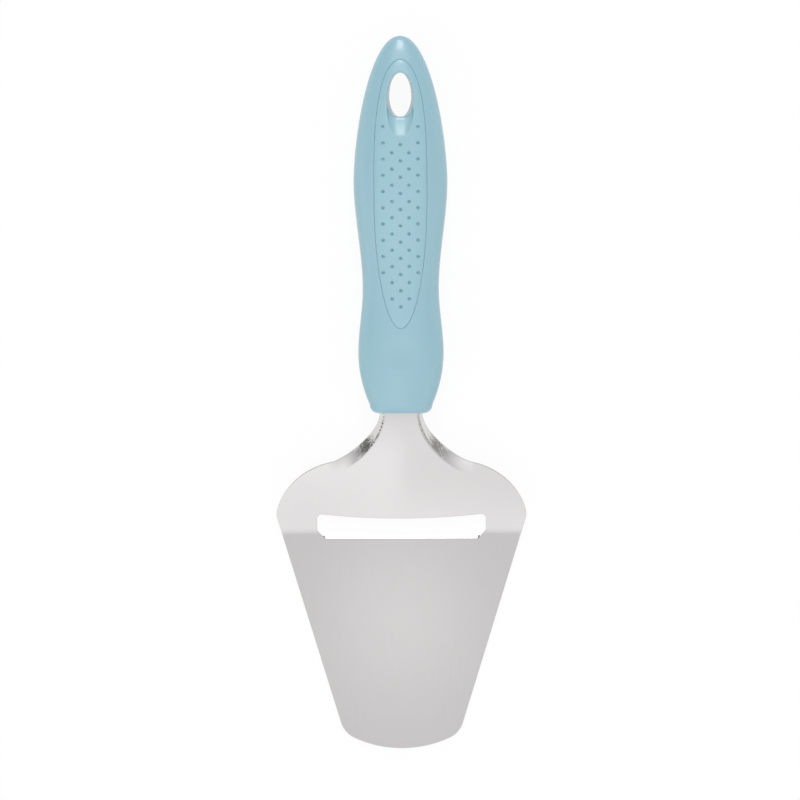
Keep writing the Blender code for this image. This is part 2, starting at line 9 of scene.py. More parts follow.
import bmesh
import bpy
import numpy as np
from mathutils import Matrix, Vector
from mathutils.geometry import delaunay_2d_cdt, interpolate_bezier
from mathutils.kdtree import KDTree


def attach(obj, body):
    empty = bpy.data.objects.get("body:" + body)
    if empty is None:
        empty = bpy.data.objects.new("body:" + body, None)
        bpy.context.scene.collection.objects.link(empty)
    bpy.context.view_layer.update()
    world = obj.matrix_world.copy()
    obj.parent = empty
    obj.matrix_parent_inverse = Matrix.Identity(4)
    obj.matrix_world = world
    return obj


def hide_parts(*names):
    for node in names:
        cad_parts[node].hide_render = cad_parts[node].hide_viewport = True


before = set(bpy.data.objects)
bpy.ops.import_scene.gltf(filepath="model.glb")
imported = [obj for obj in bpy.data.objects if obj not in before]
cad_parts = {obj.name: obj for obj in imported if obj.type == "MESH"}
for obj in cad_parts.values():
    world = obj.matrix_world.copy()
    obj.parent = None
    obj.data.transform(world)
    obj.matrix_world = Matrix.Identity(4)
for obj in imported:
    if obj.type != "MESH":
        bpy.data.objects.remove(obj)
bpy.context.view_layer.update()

# Steel sheet
SHEET = 0.0010
BLADE_WIDTH = 0.0842
BEND_TO_TIP = 0.0735
BEND_TO_WIDEST = 0.0054
BEND_TO_HANDLE = 0.0394
SIDE_TAPER = math.radians(17.2)
WIDEST_RADIUS = 0.0046
TIP_CORNER_RADIUS = 0.0083
TIP_END_RADIUS = 0.0388
RISE_ANGLE = math.radians(15)
BEND_RADIUS = 0.010
LEVEL_RADIUS = 0.070
LEVEL_BEFORE_HANDLE = 0.005
RIDGE_SLOPE = math.radians(2)
RIDGE_ROUND = 0.003
EDGE_ROUND = 0.00018

# Shoulders and folded neck
NECK_WIDTH = 0.01365
TURN_WIDTH = 0.0467
TURN_TO_HANDLE = 0.01627
TURN_ANGLE = math.radians(11.5)
FLANGE_WIDTH = 0.0042
FLANGE_ANGLE = math.radians(78)
FLANGE_BEND_RADIUS = 0.0009
FLANGE_FADE = 0.0165
FLANGE_TAIL = 0.2
FLAT_STRIP = 0.0009
NECK_PULL = 0.453
TURN_INNER_PULL = 0.162
TURN_OUTER_PULL = 0.752
WIDEST_PULL = 0.2255

# Slot and cutting lip
SLOT_LENGTH = 0.0568
SLOT_WIDTH = 0.0071
SLOT_SAG = 0.00145
SLOT_CORNER_RADIUS = 0.0015
LIP_TO_BEND = 0.0016
LIP_LENGTH = 0.0538
SLOT_CHAMFER = 0.0015
GRIND_WIDTH = 0.0011
GRIND_LENGTH = 0.0518
GRIND_END = 0.0010
GRIND_ROUND = 0.0004
EDGE_THICKNESS = 0.0002

# Tang inside the handle
TANG_LENGTH = 0.060
TANG_WIDTH = 0.0100
TANG_CORNER_RADIUS = 0.0025
TANG_FLANGE_LENGTH = 0.008
TANG_FADE_LENGTH = 0.012
KEY_HOLE_RADIUS = 0.00225
KEY_HOLE_PLACES = (0.051, 0.033)

# Handle, from its butt to its face
BUTT_TO_PALM = 0.0487
PALM_TO_WAIST = 0.0364
WAIST_TO_THUMB = 0.0216
THUMB_TO_FACE = 0.0205
HANDLE_WIDTHS = (0.0317, 0.0257, 0.0288, 0.0212)
HANDLE_THICKNESSES = (0.0192, 0.0148, 0.0160, 0.0128)
RIM_ROUND = 0.0030
NOSE_POWER = 1.6
NOSE_ROOT = 0.48
SECTION_POWER = 2.3
RIM_BELOW_SHEET = 0.0011
DISH_LENGTH = 0.0130
DISH_WIDTH = 0.0150
DISH_DEPTH = 0.0007

# Grip pads and their pits
PAD_WIDTH = 0.0179
PAD_TO_BUTT = 0.0080
PAD_TO_THUMB = 0.0080
PAD_PEAK_BELOW_PALM = 0.0055
PAD_RAISE = 0.0004
PAD_RAISE_POWER = 14
PAD_BUTT_POWER = 3.2
PAD_THUMB_POWER = 2
PAD_EDGE_ROUND = 0.0003
SEAM_WIDTH = 0.00002
SEAM_ROUND = 0.00022
POCKET_DEPTH = 0.0024
PIT_RADIUS = 0.00065
PIT_DEPTH = 0.0008
PIT_PITCH = 0.00546
INNER_COLUMN = 0.00287
OUTER_COLUMN = 0.00590
OUTER_COLUMN_SHIFT = 0.00065
PIT_TO_HOLE = 0.0095
PIT_EDGE_MARGIN = 0.0014
PIT_END_MARGIN = 0.0030
PIT_HOLE_MARGIN = 0.0019

# Hanging hole
HOLE_TO_BUTT = 0.0125
HOLE_LENGTH = 0.0148
HOLE_WIDTH = 0.0074
HOLE_PEAK = 0.0080
SCOOP_POWER = 3.2
SCOOP_START = 0.90
SCOOP_REACH = 0.0057
SCOOP_DISH = 0.9
HOLE_FLARE = 0.0008
HOLE_FLARE_AT_BUTT = 0.0003
HOLE_LEVEL_AT_PAD = 1.2
HOLE_RIM_ROUND = 0.0005

# Places along y that follow from the sizes above
Y_THUMB = THUMB_TO_FACE
Y_WAIST = Y_THUMB + WAIST_TO_THUMB
Y_PALM = Y_WAIST + PALM_TO_WAIST
Y_BUTT = Y_PALM + BUTT_TO_PALM
Y_BEND = -BEND_TO_HANDLE
Y_WIDEST = Y_BEND + BEND_TO_WIDEST
Y_TIP = Y_BEND - BEND_TO_TIP
Y_LIP = Y_BEND - LIP_TO_BEND
Y_MIDDLE = (Y_BUTT + Y_TIP) / 2
Y_FOLD_END = TANG_FLANGE_LENGTH + TANG_FADE_LENGTH
Y_ROWS_END = -0.0316
PAD_PEAK = Y_PALM - PAD_PEAK_BELOW_PALM
PAD_BUTT_END = Y_BUTT - PAD_TO_BUTT
PAD_THUMB_END = Y_THUMB + PAD_TO_THUMB
HOLE_CENTRE = Y_BUTT - HOLE_TO_BUTT - HOLE_PEAK

Z_SOLE_SHEET = SHEET / 2
Z_NECK_SHEET = Z_SOLE_SHEET + (BEND_TO_HANDLE - LEVEL_BEFORE_HANDLE) * math.tan(RISE_ANGLE)
Z_HANDLE_RIM = Z_NECK_SHEET - RIM_BELOW_SHEET
Z_HANDLE_PALM = HANDLE_THICKNESSES[0] / 2 + PAD_RAISE

# Camera, key light, floor and room
PHOTO_PIXELS = 800
METRES_PER_PIXEL = 0.240 / 711.8
CAMERA_DISTANCE = 12.0
CAMERA_PLACE = (-0.00037, -0.00266)
CAMERA_ROLL = math.radians(-0.17)
KEY_SIZE = (0.45, 0.9)
KEY_WATTS = 8.8
KEY_PLACE = (0.0, 1.6, 0.95)
FLOOR_HALF = 3.0
FLOOR_DROP = 0.0002
FLOOR_WHITE_SHARE = 0.93
ROOM_LEVEL = 0.53
ROOM_LEAST = 0.05

# Meshing: step for measuring slopes, points round the handle, and the radius it is unrolled at
NORMAL_STEP = 0.00002
RING_POINTS = 144
RING_ANGLES = [2 * math.pi * i / RING_POINTS - math.pi for i in range(RING_POINTS + 1)]
UNROLL_RADIUS = 0.0125
EDGE_TURNS = [math.pi / 2 * i / 4 for i in range(5)]


def ease(t):
    """Smooth step from 0 to 1 while t goes from 0 to 1."""
    t = min(1.0, max(0.0, t))
    return t * t * (3 - 2 * t)


def between(a, b, t):
    return a + (b - a) * t


# Surfaces made of points with their own normals


class Shell:
    """Points, the normals that some of them have, and the faces between them."""

    def __init__(self):
        self.points = []
        self.normals = []
        self.faces = []

    def add(self, point, normal=None):
        self.points.append(Vector(point))
        self.normals.append(Vector(normal).normalized() if normal is not None else None)
        return len(self.points) - 1

    def add_loop(self, points, normals=None):
        normals = normals or [None] * len(points)
        return [self.add(p, n) for p, n in zip(points, normals)]

    def band(self, first, second, closed=True):
        """Quads between two loops of point numbers."""
        count = len(first)
        for i in range(count if closed else count - 1):
            j = (i + 1) % count
            quad = (first[i], first[j], second[j], second[i])
            self.faces.append(tuple(dict.fromkeys(quad)))

    def fill(self, loops, inside, place):
        """Triangles between loops, with further points inside.

        A loop is a list of plan points with their point numbers, the outer loop first.
        place turns a plan point into a point in space and its normal.
        """
        plan = []
        numbers = []
        edges = []
        for loop in loops:
            first = len(plan)
            for i, (point, number) in enumerate(loop):
                plan.append(Vector(point))
                numbers.append(number)
                edges.append((first + i, first + (i + 1) % len(loop)))
        borders = [[point for point, _ in loop] for loop in loops]
        for point in keep_inside(inside, borders):
            plan.append(Vector(point))
            numbers.append(self.add(*place(*point)))
        found = delaunay_2d_cdt(plan, edges, [], 0, 1e-8)
        corners, faces, originals = found[0], found[2], found[3]
        centres = [sum((corners[v] for v in face), Vector((0, 0))) / len(face) for face in faces]
        for face, kept in zip(faces, inside_region(centres, borders)):
            if kept:
                self.faces.append(tuple(numbers[originals[v][0]] for v in face))

    def to_object(self, name, finish):
        """Object whose shading follows the given normals, and the faces' own ones elsewhere."""
        data = bpy.data.meshes.new(name)
        data.from_pydata([p - Vector((0, Y_MIDDLE, 0)) for p in self.points], [], self.faces)
        mesh = bmesh.new()
        mesh.from_mesh(data)
        bmesh.ops.recalc_face_normals(mesh, faces=mesh.faces)
        mesh.to_mesh(data)
        mesh.free()
        data.shade_smooth()
        normals = []
        for vertex, given in zip(data.vertices, self.normals):
            own = vertex.normal.copy()
            if given is not None:
                own = given if given.dot(own) >= 0 else -given
            normals.append(own)
        data.normals_split_custom_set_from_vertices(normals)
        data.materials.append(finish)
        return add_object(name, data)


def add_object(name, data):
    """Object with this data, linked into the scene."""
    result = bpy.data.objects.new(name, data)
    bpy.context.scene.collection.objects.link(result)
    return result


def inside_region(points, borders):
    """For each plan point, whether it is inside the first border and outside the others."""
    x = np.array([p[0] for p in points])
    y = np.array([p[1] for p in points])
    result = np.ones(len(x), bool)
    for number, border in enumerate(borders):
        crossed = np.zeros(len(x), bool)
        for (ax, ay), (bx, by) in zip(border, list(border[1:]) + [border[0]]):
            if ay == by:
                continue
            level = (y >= min(ay, by)) & (y < max(ay, by))
            crossed ^= level & (x < ax + (y - ay) * (bx - ax) / (by - ay))
        result &= crossed if number == 0 else ~crossed
    return result


def keep_inside(points, borders):
    """The points inside the region, leaving out those that would crowd its borders' points.

    The gap kept is half the border's spacing there and a little more, and at most 0.6 mm.
    """
    if not points:
        return []
    tree = KDTree(sum(len(border) for border in borders))
    spans = []
    for border in borders:
        for i, point in enumerate(border):
            ahead = border[(i + 1) % len(border)]
            tree.insert((point[0], point[1], 0), len(spans))
            spans.append(math.dist(point[:2], ahead[:2]))
    tree.balance()
    kept = []
    for point, good in zip(points, inside_region(points, borders)):
        if good:
            _, number, distance = tree.find((point[0], point[1], 0))
            if distance > min(0.0006, 0.5 * spans[number] + 0.00005):
                kept.append(point)
    return kept


def normal_of(surface, u, v):
    """Normal of a surface given by two plan coordinates."""
    along_u = surface(u + NORMAL_STEP, v) - surface(u - NORMAL_STEP, v)
    along_v = surface(u, v + NORMAL_STEP) - surface(u, v - NORMAL_STEP)
    return along_u.cross(along_v).normalized()


def plan_grid(x_values, y_values):
    return [(x, y) for y in y_values for x in x_values]


def spread(start, end, step):
    count = max(1, round(abs(end - start) / step))
    return [between(start, end, i / count) for i in range(count + 1)]


def round_corner(x, y, radius, start, end, steps):
    """Points on an arc about (x, y) from one angle to another."""
    angles = [between(start, end, i / steps) for i in range(steps + 1)]
    return [(x + radius * math.cos(a), y + radius * math.sin(a)) for a in angles]


def bezier(start, start_pull, end_pull, end, steps):
    points = [Vector((p[0], p[1], 0)) for p in (start, start_pull, end_pull, end)]
    return [(p.x, p.y) for p in interpolate_bezier(*points, steps + 1)]


def outward_in_plan(loop):
    """Plan normals of a closed loop, to its outer side."""
    count = len(loop)
    turning = sum(
        loop[i][0] * loop[(i + 1) % count][1] - loop[(i + 1) % count][0] * loop[i][1]
        for i in range(count)
    )
    sign = 1 if turning > 0 else -1
    normals = []
    for i in range(count):
        before = Vector(loop[i - 1][:2])
        here = Vector(loop[i][:2])
        after = Vector(loop[(i + 1) % count][:2])
        along = (here - before).normalized() + (after - here).normalized()
        normals.append(Vector((along.y, -along.x)).normalized() * sign)
    return normals


# Plan outline of the sheet, right half


def tang_outline():
    """Right edge of the tang, from its flat far end to where the fold starts."""
    half = TANG_WIDTH / 2
    r = TANG_CORNER_RADIUS
    points = round_corner(half - r, TANG_LENGTH - r, r, math.pi / 2, 0, 8)
    return points + [(half, y) for y in spread(TANG_LENGTH - r, Y_FOLD_END, 0.002)[1:-1]]


def fold_outline():
    """Right edge of the folded part inside the handle."""
    points = []
    for y in spread(Y_FOLD_END, TANG_FLANGE_LENGTH, 0.0008):
        t = (Y_FOLD_END - y) / TANG_FADE_LENGTH
        points.append((between(TANG_WIDTH, NECK_WIDTH, ease(t)) / 2, y))
    return points + [(NECK_WIDTH / 2, y) for y in spread(TANG_FLANGE_LENGTH, 0, 0.001)[1:-1]]


def shoulder_outline():
    """Right edge from the handle's face along the neck and shoulder to the widest place."""
    neck = (NECK_WIDTH / 2, 0.0)
    turn = (TURN_WIDTH / 2, -TURN_TO_HANDLE)
    widest = (BLADE_WIDTH / 2, Y_WIDEST)
    along = (math.cos(TURN_ANGLE), -math.sin(TURN_ANGLE))
    inner_pull = TURN_INNER_PULL * (turn[0] - neck[0])
    outer_pull = TURN_OUTER_PULL * (widest[0] - turn[0])
    inner = bezier(
        neck,
        (neck[0], -NECK_PULL * TURN_TO_HANDLE),
        (turn[0] - inner_pull * along[0], turn[1] - inner_pull * along[1]),
        turn,
        70,
    )
    outer = bezier(
        turn,
        (turn[0] + outer_pull * along[0], turn[1] + outer_pull * along[1]),
        (widest[0], widest[1] + WIDEST_PULL * (turn[1] - widest[1])),
        widest,
        80,
    )
    return inner + outer[1:]


def side_outline():
    """Right edge from the widest place down the tapered side and round the tip to x = 0."""
    centre = BLADE_WIDTH / 2 - WIDEST_RADIUS
    points = round_corner(centre, Y_WIDEST, WIDEST_RADIUS, 0, -SIDE_TAPER, 16)[1:]
    start = Vector(points[-1])
    outward = Vector((math.cos(SIDE_TAPER), -math.sin(SIDE_TAPER)))
    down = Vector((-math.sin(SIDE_TAPER), -math.cos(SIDE_TAPER)))
    end_centre = Vector((0, Y_TIP + TIP_END_RADIUS))
    # The corner's centre is one radius inside the side and one radius inside the end arc.
    base = start - outward * TIP_CORNER_RADIUS - end_centre
    reach = TIP_END_RADIUS - TIP_CORNER_RADIUS
    b = base.dot(down)
    run = -b + math.sqrt(b * b - base.dot(base) + reach * reach)
    corner = end_centre + base + down * run
    side_end = corner + outward * TIP_CORNER_RADIUS
    steps = 30
    for i in range(1, steps):
        # A bow of a few microns keeps the points out of one line, so the triangles meet them all
        bow = outward * 0.00001 * math.sin(math.pi * i / steps)
        points.append(tuple(start.lerp(side_end, i / steps) + bow))
    to_end = (corner - end_centre).normalized()
    end_angle = math.atan2(to_end.y, to_end.x)
    points += round_corner(corner.x, corner.y, TIP_CORNER_RADIUS, -SIDE_TAPER, end_angle, 20)
    return points + round_corner(0, end_centre.y, TIP_END_RADIUS, end_angle, -math.pi / 2, 30)[1:]


def slot_outline():
    """Plan of the slot: straight cutting lip, chamfers at its ends and a sagging far edge."""
    half = SLOT_LENGTH / 2
    r = SLOT_CORNER_RADIUS
    far = Y_LIP + SLOT_WIDTH
    cut = 0.0003
    corners = [(LIP_LENGTH / 2, Y_LIP), (half, Y_LIP + SLOT_CHAMFER)]
    straight = spread(0, LIP_LENGTH / 2 - cut, 0.0005)
    right = [(x, Y_LIP) for x in straight[1:-1]] + soften(corners, cut)
    right += round_corner(half - r, far - r, r, 0, math.pi / 2, 10)
    for across in spread(half - r, 0, 0.0010)[1:-1]:
        right.append((across, far - SLOT_SAG * (1 - (across / (half - r)) ** 2)))
    left = [(-x, y) for x, y in reversed(right)]
    return [(0.0, Y_LIP)] + right + [(0.0, far - SLOT_SAG)] + left


def soften(corners, cut):
    """Each corner replaced by a curve that starts and ends a short cut away from it."""
    result = []
    for i, corner in enumerate(corners):
        here = Vector(corner)
        before = Vector(corners[i - 1]) if i else here - Vector((1, 0))
        after = Vector(corners[i + 1]) if i + 1 < len(corners) else here + Vector((0, 1))
        a = here + (before - here).normalized() * cut
        b = here + (after - here).normalized() * cut
        for t in (0, 0.25, 0.5, 0.75, 1):
            result.append(tuple(a * (1 - t) ** 2 + here * 2 * t * (1 - t) + b * t**2))
    return result


# Heights of the sheet


def spine_height(y):
    """Height of the sheet's middle along x = 0: flat sole, bend, rise and level neck."""
    tangent = math.tan(RISE_ANGLE / 2)
    low = Y_BEND - BEND_RADIUS * tangent
    low_end = Y_BEND + BEND_RADIUS * tangent * math.cos(RISE_ANGLE)
    level = -LEVEL_BEFORE_HANDLE
    high = level + LEVEL_RADIUS * tangent
    high_start = level - LEVEL_RADIUS * tangent * math.cos(RISE_ANGLE)
    if y <= low:
        return Z_SOLE_SHEET
    if y < low_end:
        return Z_SOLE_SHEET + BEND_RADIUS - math.sqrt(BEND_RADIUS**2 - (y - low) ** 2)
    if y <= high_start:
        return Z_SOLE_SHEET + (y - Y_BEND) * math.tan(RISE_ANGLE)
    if y < high:
        return Z_NECK_SHEET - LEVEL_RADIUS + math.sqrt(LEVEL_RADIUS**2 - (high - y) ** 2)
    return Z_NECK_SHEET


def ridge_drop(x, y):
    """How far the raised plate falls to its sides from the soft ridge along its middle."""
    growth = ease((y - Y_BEND) / (BEND_TO_HANDLE - TURN_TO_HANDLE)) * ease(-y / TURN_TO_HANDLE)
    return growth * math.tan(RIDGE_SLOPE) * (math.hypot(x, RIDGE_ROUND) - RIDGE_ROUND)


def sheet_middle(x, y):
    return Vector((x, y, spine_height(y) - ridge_drop(x, y)))


def grind_depth(x, y):
    """How far the ground bevel, rounded where it starts, lies below the plate's face."""
    from_start = y - (Y_LIP - GRIND_WIDTH - GRIND_ROUND / 2)
    if from_start <= 0 or y > Y_LIP + 0.0003:
        return 0.0
    slope = (SHEET - EDGE_THICKNESS) / GRIND_WIDTH
    lift = SHEET * max(0.0, (abs(x) - GRIND_LENGTH / 2) / GRIND_END)
    if from_start < GRIND_ROUND:
        fall = slope * from_start**2 / (2 * GRIND_ROUND)
    else:
        fall = slope * (from_start - GRIND_ROUND / 2)
    return max(0.0, fall - lift)


def sheet_top(x, y):
    normal = normal_of(sheet_middle, x, y)
    return sheet_middle(x, y) + normal * (SHEET / 2 - grind_depth(x, y))


def sheet_bottom(x, y):
    return sheet_middle(x, y) - normal_of(sheet_middle, x, y) * SHEET / 2


def flange_angle(y):
    """Fold of the sheet's edge: full at the handle, fading into the shoulder and the tang."""
    if y < 0:
        t = min(1.0, -y / FLANGE_FADE)
        return FLANGE_ANGLE * (1 - between(ease(t), t**4, FLANGE_TAIL))
    return FLANGE_ANGLE * (1 - ease((y - TANG_FLANGE_LENGTH) / TANG_FADE_LENGTH))


def flange_place(u, angle):
    """Run and drop from the fold's inner end to the place u in from the edge of a folded strip."""
    radius = FLANGE_BEND_RADIUS
    outer = FLANGE_WIDTH - radius * angle / 2
    inner = FLANGE_WIDTH + radius * angle / 2
    if u >= inner:
        return inner - u, 0.0
    if u > outer:
        turned = (inner - u) / radius
        return radius * math.sin(turned), radius * (1 - math.cos(turned))
    rest = outer - u
    run = radius * math.sin(angle) + rest * math.cos(angle)
    return run, radius * (1 - math.cos(angle)) + rest * math.sin(angle)


def strip_row(point, inward):
    """Points of the sheet's middle from its edge to x = 0, across the folded strip."""
    x, y = point
    angle = flange_angle(y)
    straight = ease((-y - FLANGE_FADE) / FLANGE_FADE)
    if y > TANG_FLANGE_LENGTH:
        straight = ease((y - TANG_FLANGE_LENGTH) / TANG_FADE_LENGTH)
    heading = inward.lerp(Vector((-1, 0)), straight).normalized()
    reach = FLANGE_BEND_RADIUS * FLANGE_ANGLE / 2
    stations = spread(EDGE_ROUND, FLANGE_WIDTH - reach, 0.0005)
    stations += spread(FLANGE_WIDTH - reach, FLANGE_WIDTH + reach, 0.00014)[1:]
    stations = [0.0] + stations + [FLANGE_WIDTH + reach + FLAT_STRIP]
    edge_run = flange_place(0.0, angle)[0]
    span = edge_run - flange_place(stations[-1], angle)[0]
    shrink = min(1.0, 3 / 4 * x / span)
    row = []
    for u in stations:
        run, drop = flange_place(u * shrink if u > EDGE_ROUND else u, angle)
        place = Vector(point) + heading * (edge_run - run)
        row.append(sheet_middle(place.x, place.y) - Vector((0, 0, drop)))
    columns = 22
    last = row[-1]
    for i in range(1, columns + 1):
        row.append(sheet_middle(between(last.x, 0, i / columns), last.y))
    return row


def mirrored(point):
    return Vector((-point[0], point[1], point[2]))


# Blade


def edge_radius(thickness):
    """Rounding of the sheet's edge, which is less where the sheet is ground thin."""
    return min(EDGE_ROUND, thickness * 0.45)


def edge_profile(edge, out, up, top, bottom):
    """Points and normals down the rounded edge of a sheet, from its top face to its bottom one."""
    r = edge_radius(top - bottom)
    result = []
    for sign, face, turns in ((1, top, EDGE_TURNS), (-1, bottom, EDGE_TURNS[::-1])):
        for turn in turns:
            c = math.cos(turn)
            s = math.sin(turn)
            point = edge - out * r * (1 - s) + up * (face - sign * r * (1 - c))
            result.append((point, up * sign * c + out * s))
    return result


def plan_station(point, outward):
    """Edge profile at a plan point of the sheet, and the plan point of its inner end."""
    x, y = point
    up = normal_of(sheet_middle, x, y)
    ahead = sheet_middle(x + outward.x * NORMAL_STEP, y + outward.y * NORMAL_STEP)
    out = (ahead - sheet_middle(x, y)).normalized()
    top = SHEET / 2 - grind_depth(x, min(y, Y_LIP)) if is_lip(x, y) else SHEET / 2
    profile = edge_profile(sheet_middle(x, y), out, up, top, -SHEET / 2)
    r = edge_radius(top + SHEET / 2)
    inner = (x - outward.x * r, y - outward.y * r)
    if is_lip(x, y):
        # Shaded as the ground bevel is 0.1 mm in from the lip
        profile[0] = (profile[0][0], normal_of(sheet_top, inner[0], inner[1] - 0.0001))
    return profile, inner


def is_lip(x, y):
    """Whether a point of the slot's outline is on the cutting lip."""
    return abs(x) < LIP_LENGTH / 2 and abs(y - Y_LIP) < 0.0002


def near_lip(x, y):
    """Whether a plan point is on the ground bevel or close to it."""
    in_band = Y_LIP - GRIND_WIDTH - GRIND_ROUND < y < Y_LIP + 0.0002
    return in_band and abs(x) < GRIND_LENGTH / 2 + 1.3 * GRIND_END


def add_rim(shell, profiles):
    """Bands round an edge. Returns the point numbers of the top loop and of the bottom loop."""
    loops = []
    for k in range(len(profiles[0])):
        loops.append([shell.add(*profile[k]) for profile in profiles])
    for first, second in zip(loops, loops[1:]):
        shell.band(first, second)
    return loops[0], loops[-1]


def add_opening(shell, outline):
    """Rounded edge of an opening. Returns the plan loop round it, and its top and bottom loops."""
    stations = [plan_station(p, -n) for p, n in zip(outline, outward_in_plan(outline))]
    return [place for _, place in stations], add_rim(shell, [profile for profile, _ in stations])


def add_folded_rows(shell, rows, ups, ends, sign):
    """Quads over the folded rows on one face of the sheet. Returns each row's point numbers.

    ends holds the point numbers of each row's right and left end.
    """
    numbers = []
    for row, normals, (right, left) in zip(rows, ups, ends):
        half = [(p + up * sign * SHEET / 2, up) for p, up in zip(row[2:], normals[2:])]
        middle = [shell.add(point, up) for point, up in half]
        middle += [shell.add(mirrored(point), mirrored(up)) for point, up in half[-2::-1]]
        numbers.append([right] + middle + [left])
    for upper, below in zip(numbers, numbers[1:]):
        shell.band(upper, below, closed=False)
    return numbers


def row_loop(row, numbers):
    """Plan points of a whole row from right to left, with their point numbers."""
    places = [(p.x, p.y) for p in row[1:]] + [(-p.x, p.y) for p in row[-2:0:-1]]
    return list(zip(places, numbers))


def blade_grid():
    """Plan points below the folded rows, close together at the bend and on the ground bevel."""
    heights = [-0.0322, -0.0327] + spread(-0.0332, -0.0376, 0.0006)
    heights += spread(-0.0379, -0.0409, 0.0002) + [-0.0415, -0.0420, -0.0424, -0.0430]
    heights += spread(-0.044, Y_TIP + 0.002, 0.004)
    grid = [p for p in plan_grid(spread(-0.042, 0.042, 0.0015), heights) if not near_lip(*p)]
    crease = Y_LIP - GRIND_WIDTH
    bevel = [crease + GRIND_ROUND * k for k in (-0.52, -0.25, 0, 0.25, 0.52)]
    bevel += [crease + 0.0005, Y_LIP - 0.0003]
    places = spread(-GRIND_LENGTH / 2, GRIND_LENGTH / 2, 0.0005)
    ends = [GRIND_LENGTH / 2 + GRIND_END * k for k in (0.06, 0.3, 0.6, 0.9, 1.1)]
    places += [sign * x for sign in (-1, 1) for x in ends]
    return grid + plan_grid(places, bevel)


def build_blade(finish):
    """Blade, neck and tang: one bent sheet with a slot, a ground lip and two key holes."""
    shell = Shell()
    tang = tang_outline()
    folded = fold_outline() + shoulder_outline()
    outline = tang + folded + side_outline()
    first_row = len(tang)
    last_row = first_row + next(i for i, p in enumerate(folded) if p[1] < Y_ROWS_END)

    rows = []
    for i in range(first_row, last_row + 1):
        along = (Vector(outline[i + 1]) - Vector(outline[i - 1])).normalized()
        rows.append(strip_row(outline[i], Vector((along.y, -along.x))))
    ups = [row_normals(rows, i) for i in range(len(rows))]

    loop = outline + [(-x, y) for x, y in reversed(outline[:-1])]
    count = len(loop)
    outward = outward_in_plan(loop)
    profiles = []
    inner = []
    for i, point in enumerate(loop):
        number = min(i, count - 1 - i)
        if first_row <= number <= last_row:
            edge, place = rows[number - first_row][:2]
            up = ups[number - first_row][1]
            out = (edge - place).normalized()
            if i != number:
                up, out, edge, place = (mirrored(v) for v in (up, out, edge, place))
            profiles.append(edge_profile(edge, out, up, SHEET / 2, -SHEET / 2))
            inner.append((place.x, place.y))
        else:
            profile, place = plan_station(point, outward[i])
            profiles.append(profile)
            inner.append(place)
    faces = add_rim(shell, profiles)
    slot_plan, slot_faces = add_opening(shell, slot_outline())
    key_holes = []
    for y in KEY_HOLE_PLACES:
        circle = round_corner(0, y, KEY_HOLE_RADIUS, 0, 2 * math.pi, 32)[:-1]
        key_holes.append(add_opening(shell, circle))

    for side, surface in enumerate((sheet_top, sheet_bottom)):
        edge = faces[side]
        ends = [(edge[i], edge[count - 1 - i]) for i in range(first_row, last_row + 1)]
        numbers = add_folded_rows(shell, rows, ups, ends, 1 - 2 * side)

        def place(x, y):
            return surface(x, y), normal_of(surface, x, y)

        tang_loop = [(inner[i], edge[i]) for i in range(first_row)]
        tang_loop += row_loop(rows[0], numbers[0])
        tang_loop += [(inner[i], edge[i]) for i in range(count - first_row, count)]
        holes = [list(zip(plan, loops[side])) for plan, loops in key_holes]
        grid = plan_grid(spread(-0.004, 0.004, 0.002), spread(0.022, 0.058, 0.002))
        shell.fill([tang_loop] + holes, grid, place)

        blade_loop = row_loop(rows[-1], numbers[-1])[::-1]
        blade_loop += [(inner[i], edge[i]) for i in range(last_row + 1, count - last_row - 1)]
        shell.fill([blade_loop, list(zip(slot_plan, slot_faces[side]))], blade_grid(), place)
    return shell.to_object("satin_blade", finish)


def row_normals(rows, i):
    """Normals of the sheet's middle along one row of the folded part."""
    row = rows[i]
    result = []
    for j, point in enumerate(row):
        if i in (0, len(rows) - 1):
            result.append(normal_of(sheet_middle, point.x, point.y))
            continue
        across = row[max(0, j - 1)] - row[min(len(row) - 1, j + 1)]
        if j == len(row) - 1:
            across = Vector((1, 0, 0))
        along = rows[i - 1][j] - rows[i + 1][j]
        result.append(across.cross(along).normalized())
    return result


# Handle


def handle_half(y, sizes):
    """Half width or half thickness of the handle at y, from its four sizes."""
    palm, waist, thumb, rim = sizes
    if y >= Y_PALM:
        toward_butt = min(1.0, (y - Y_PALM) / BUTT_TO_PALM)
        return palm / 2 * (1 - toward_butt**NOSE_POWER) ** NOSE_ROOT
    if y >= Y_WAIST:
        return between(waist, palm, ease((y - Y_WAIST) / PALM_TO_WAIST)) / 2
    if y >= Y_THUMB:
        return between(thumb, waist, ease((y - Y_THUMB) / WAIST_TO_THUMB)) / 2
    toward_rim = (Y_THUMB - y) / (THUMB_TO_FACE - RIM_ROUND)
    full = between(thumb, rim, min(1.0, toward_rim) ** 2) / 2
    if y >= RIM_ROUND:
        return full
    return full - RIM_ROUND * (1 - math.sqrt(max(0.0, 1 - (1 - y / RIM_ROUND) ** 2)))


def half_width(y):
    return handle_half(y, HANDLE_WIDTHS)


def half_thickness(y):
    return handle_half(y, HANDLE_THICKNESSES)


def axis_height(y):
    return between(Z_HANDLE_RIM, Z_HANDLE_PALM, ease(y / Y_PALM))


def dish_depth(x, y):
    across = 2 * x / DISH_WIDTH
    along = 2 * (y - Y_THUMB) / DISH_LENGTH
    return DISH_DEPTH * max(0.0, 1 - across**2 - along**2) ** 2


def skin_height(x, y, side):
    """Height of the handle's skin, on its upper side (1) or underside (-1)."""
    across = min(1.0, abs(x) / half_width(y))
    rise = half_thickness(y) * (1 - across**SECTION_POWER) ** (1 / SECTION_POWER)
    if side > 0:
        rise -= dish_depth(x, y)
    return axis_height(y) + side * rise


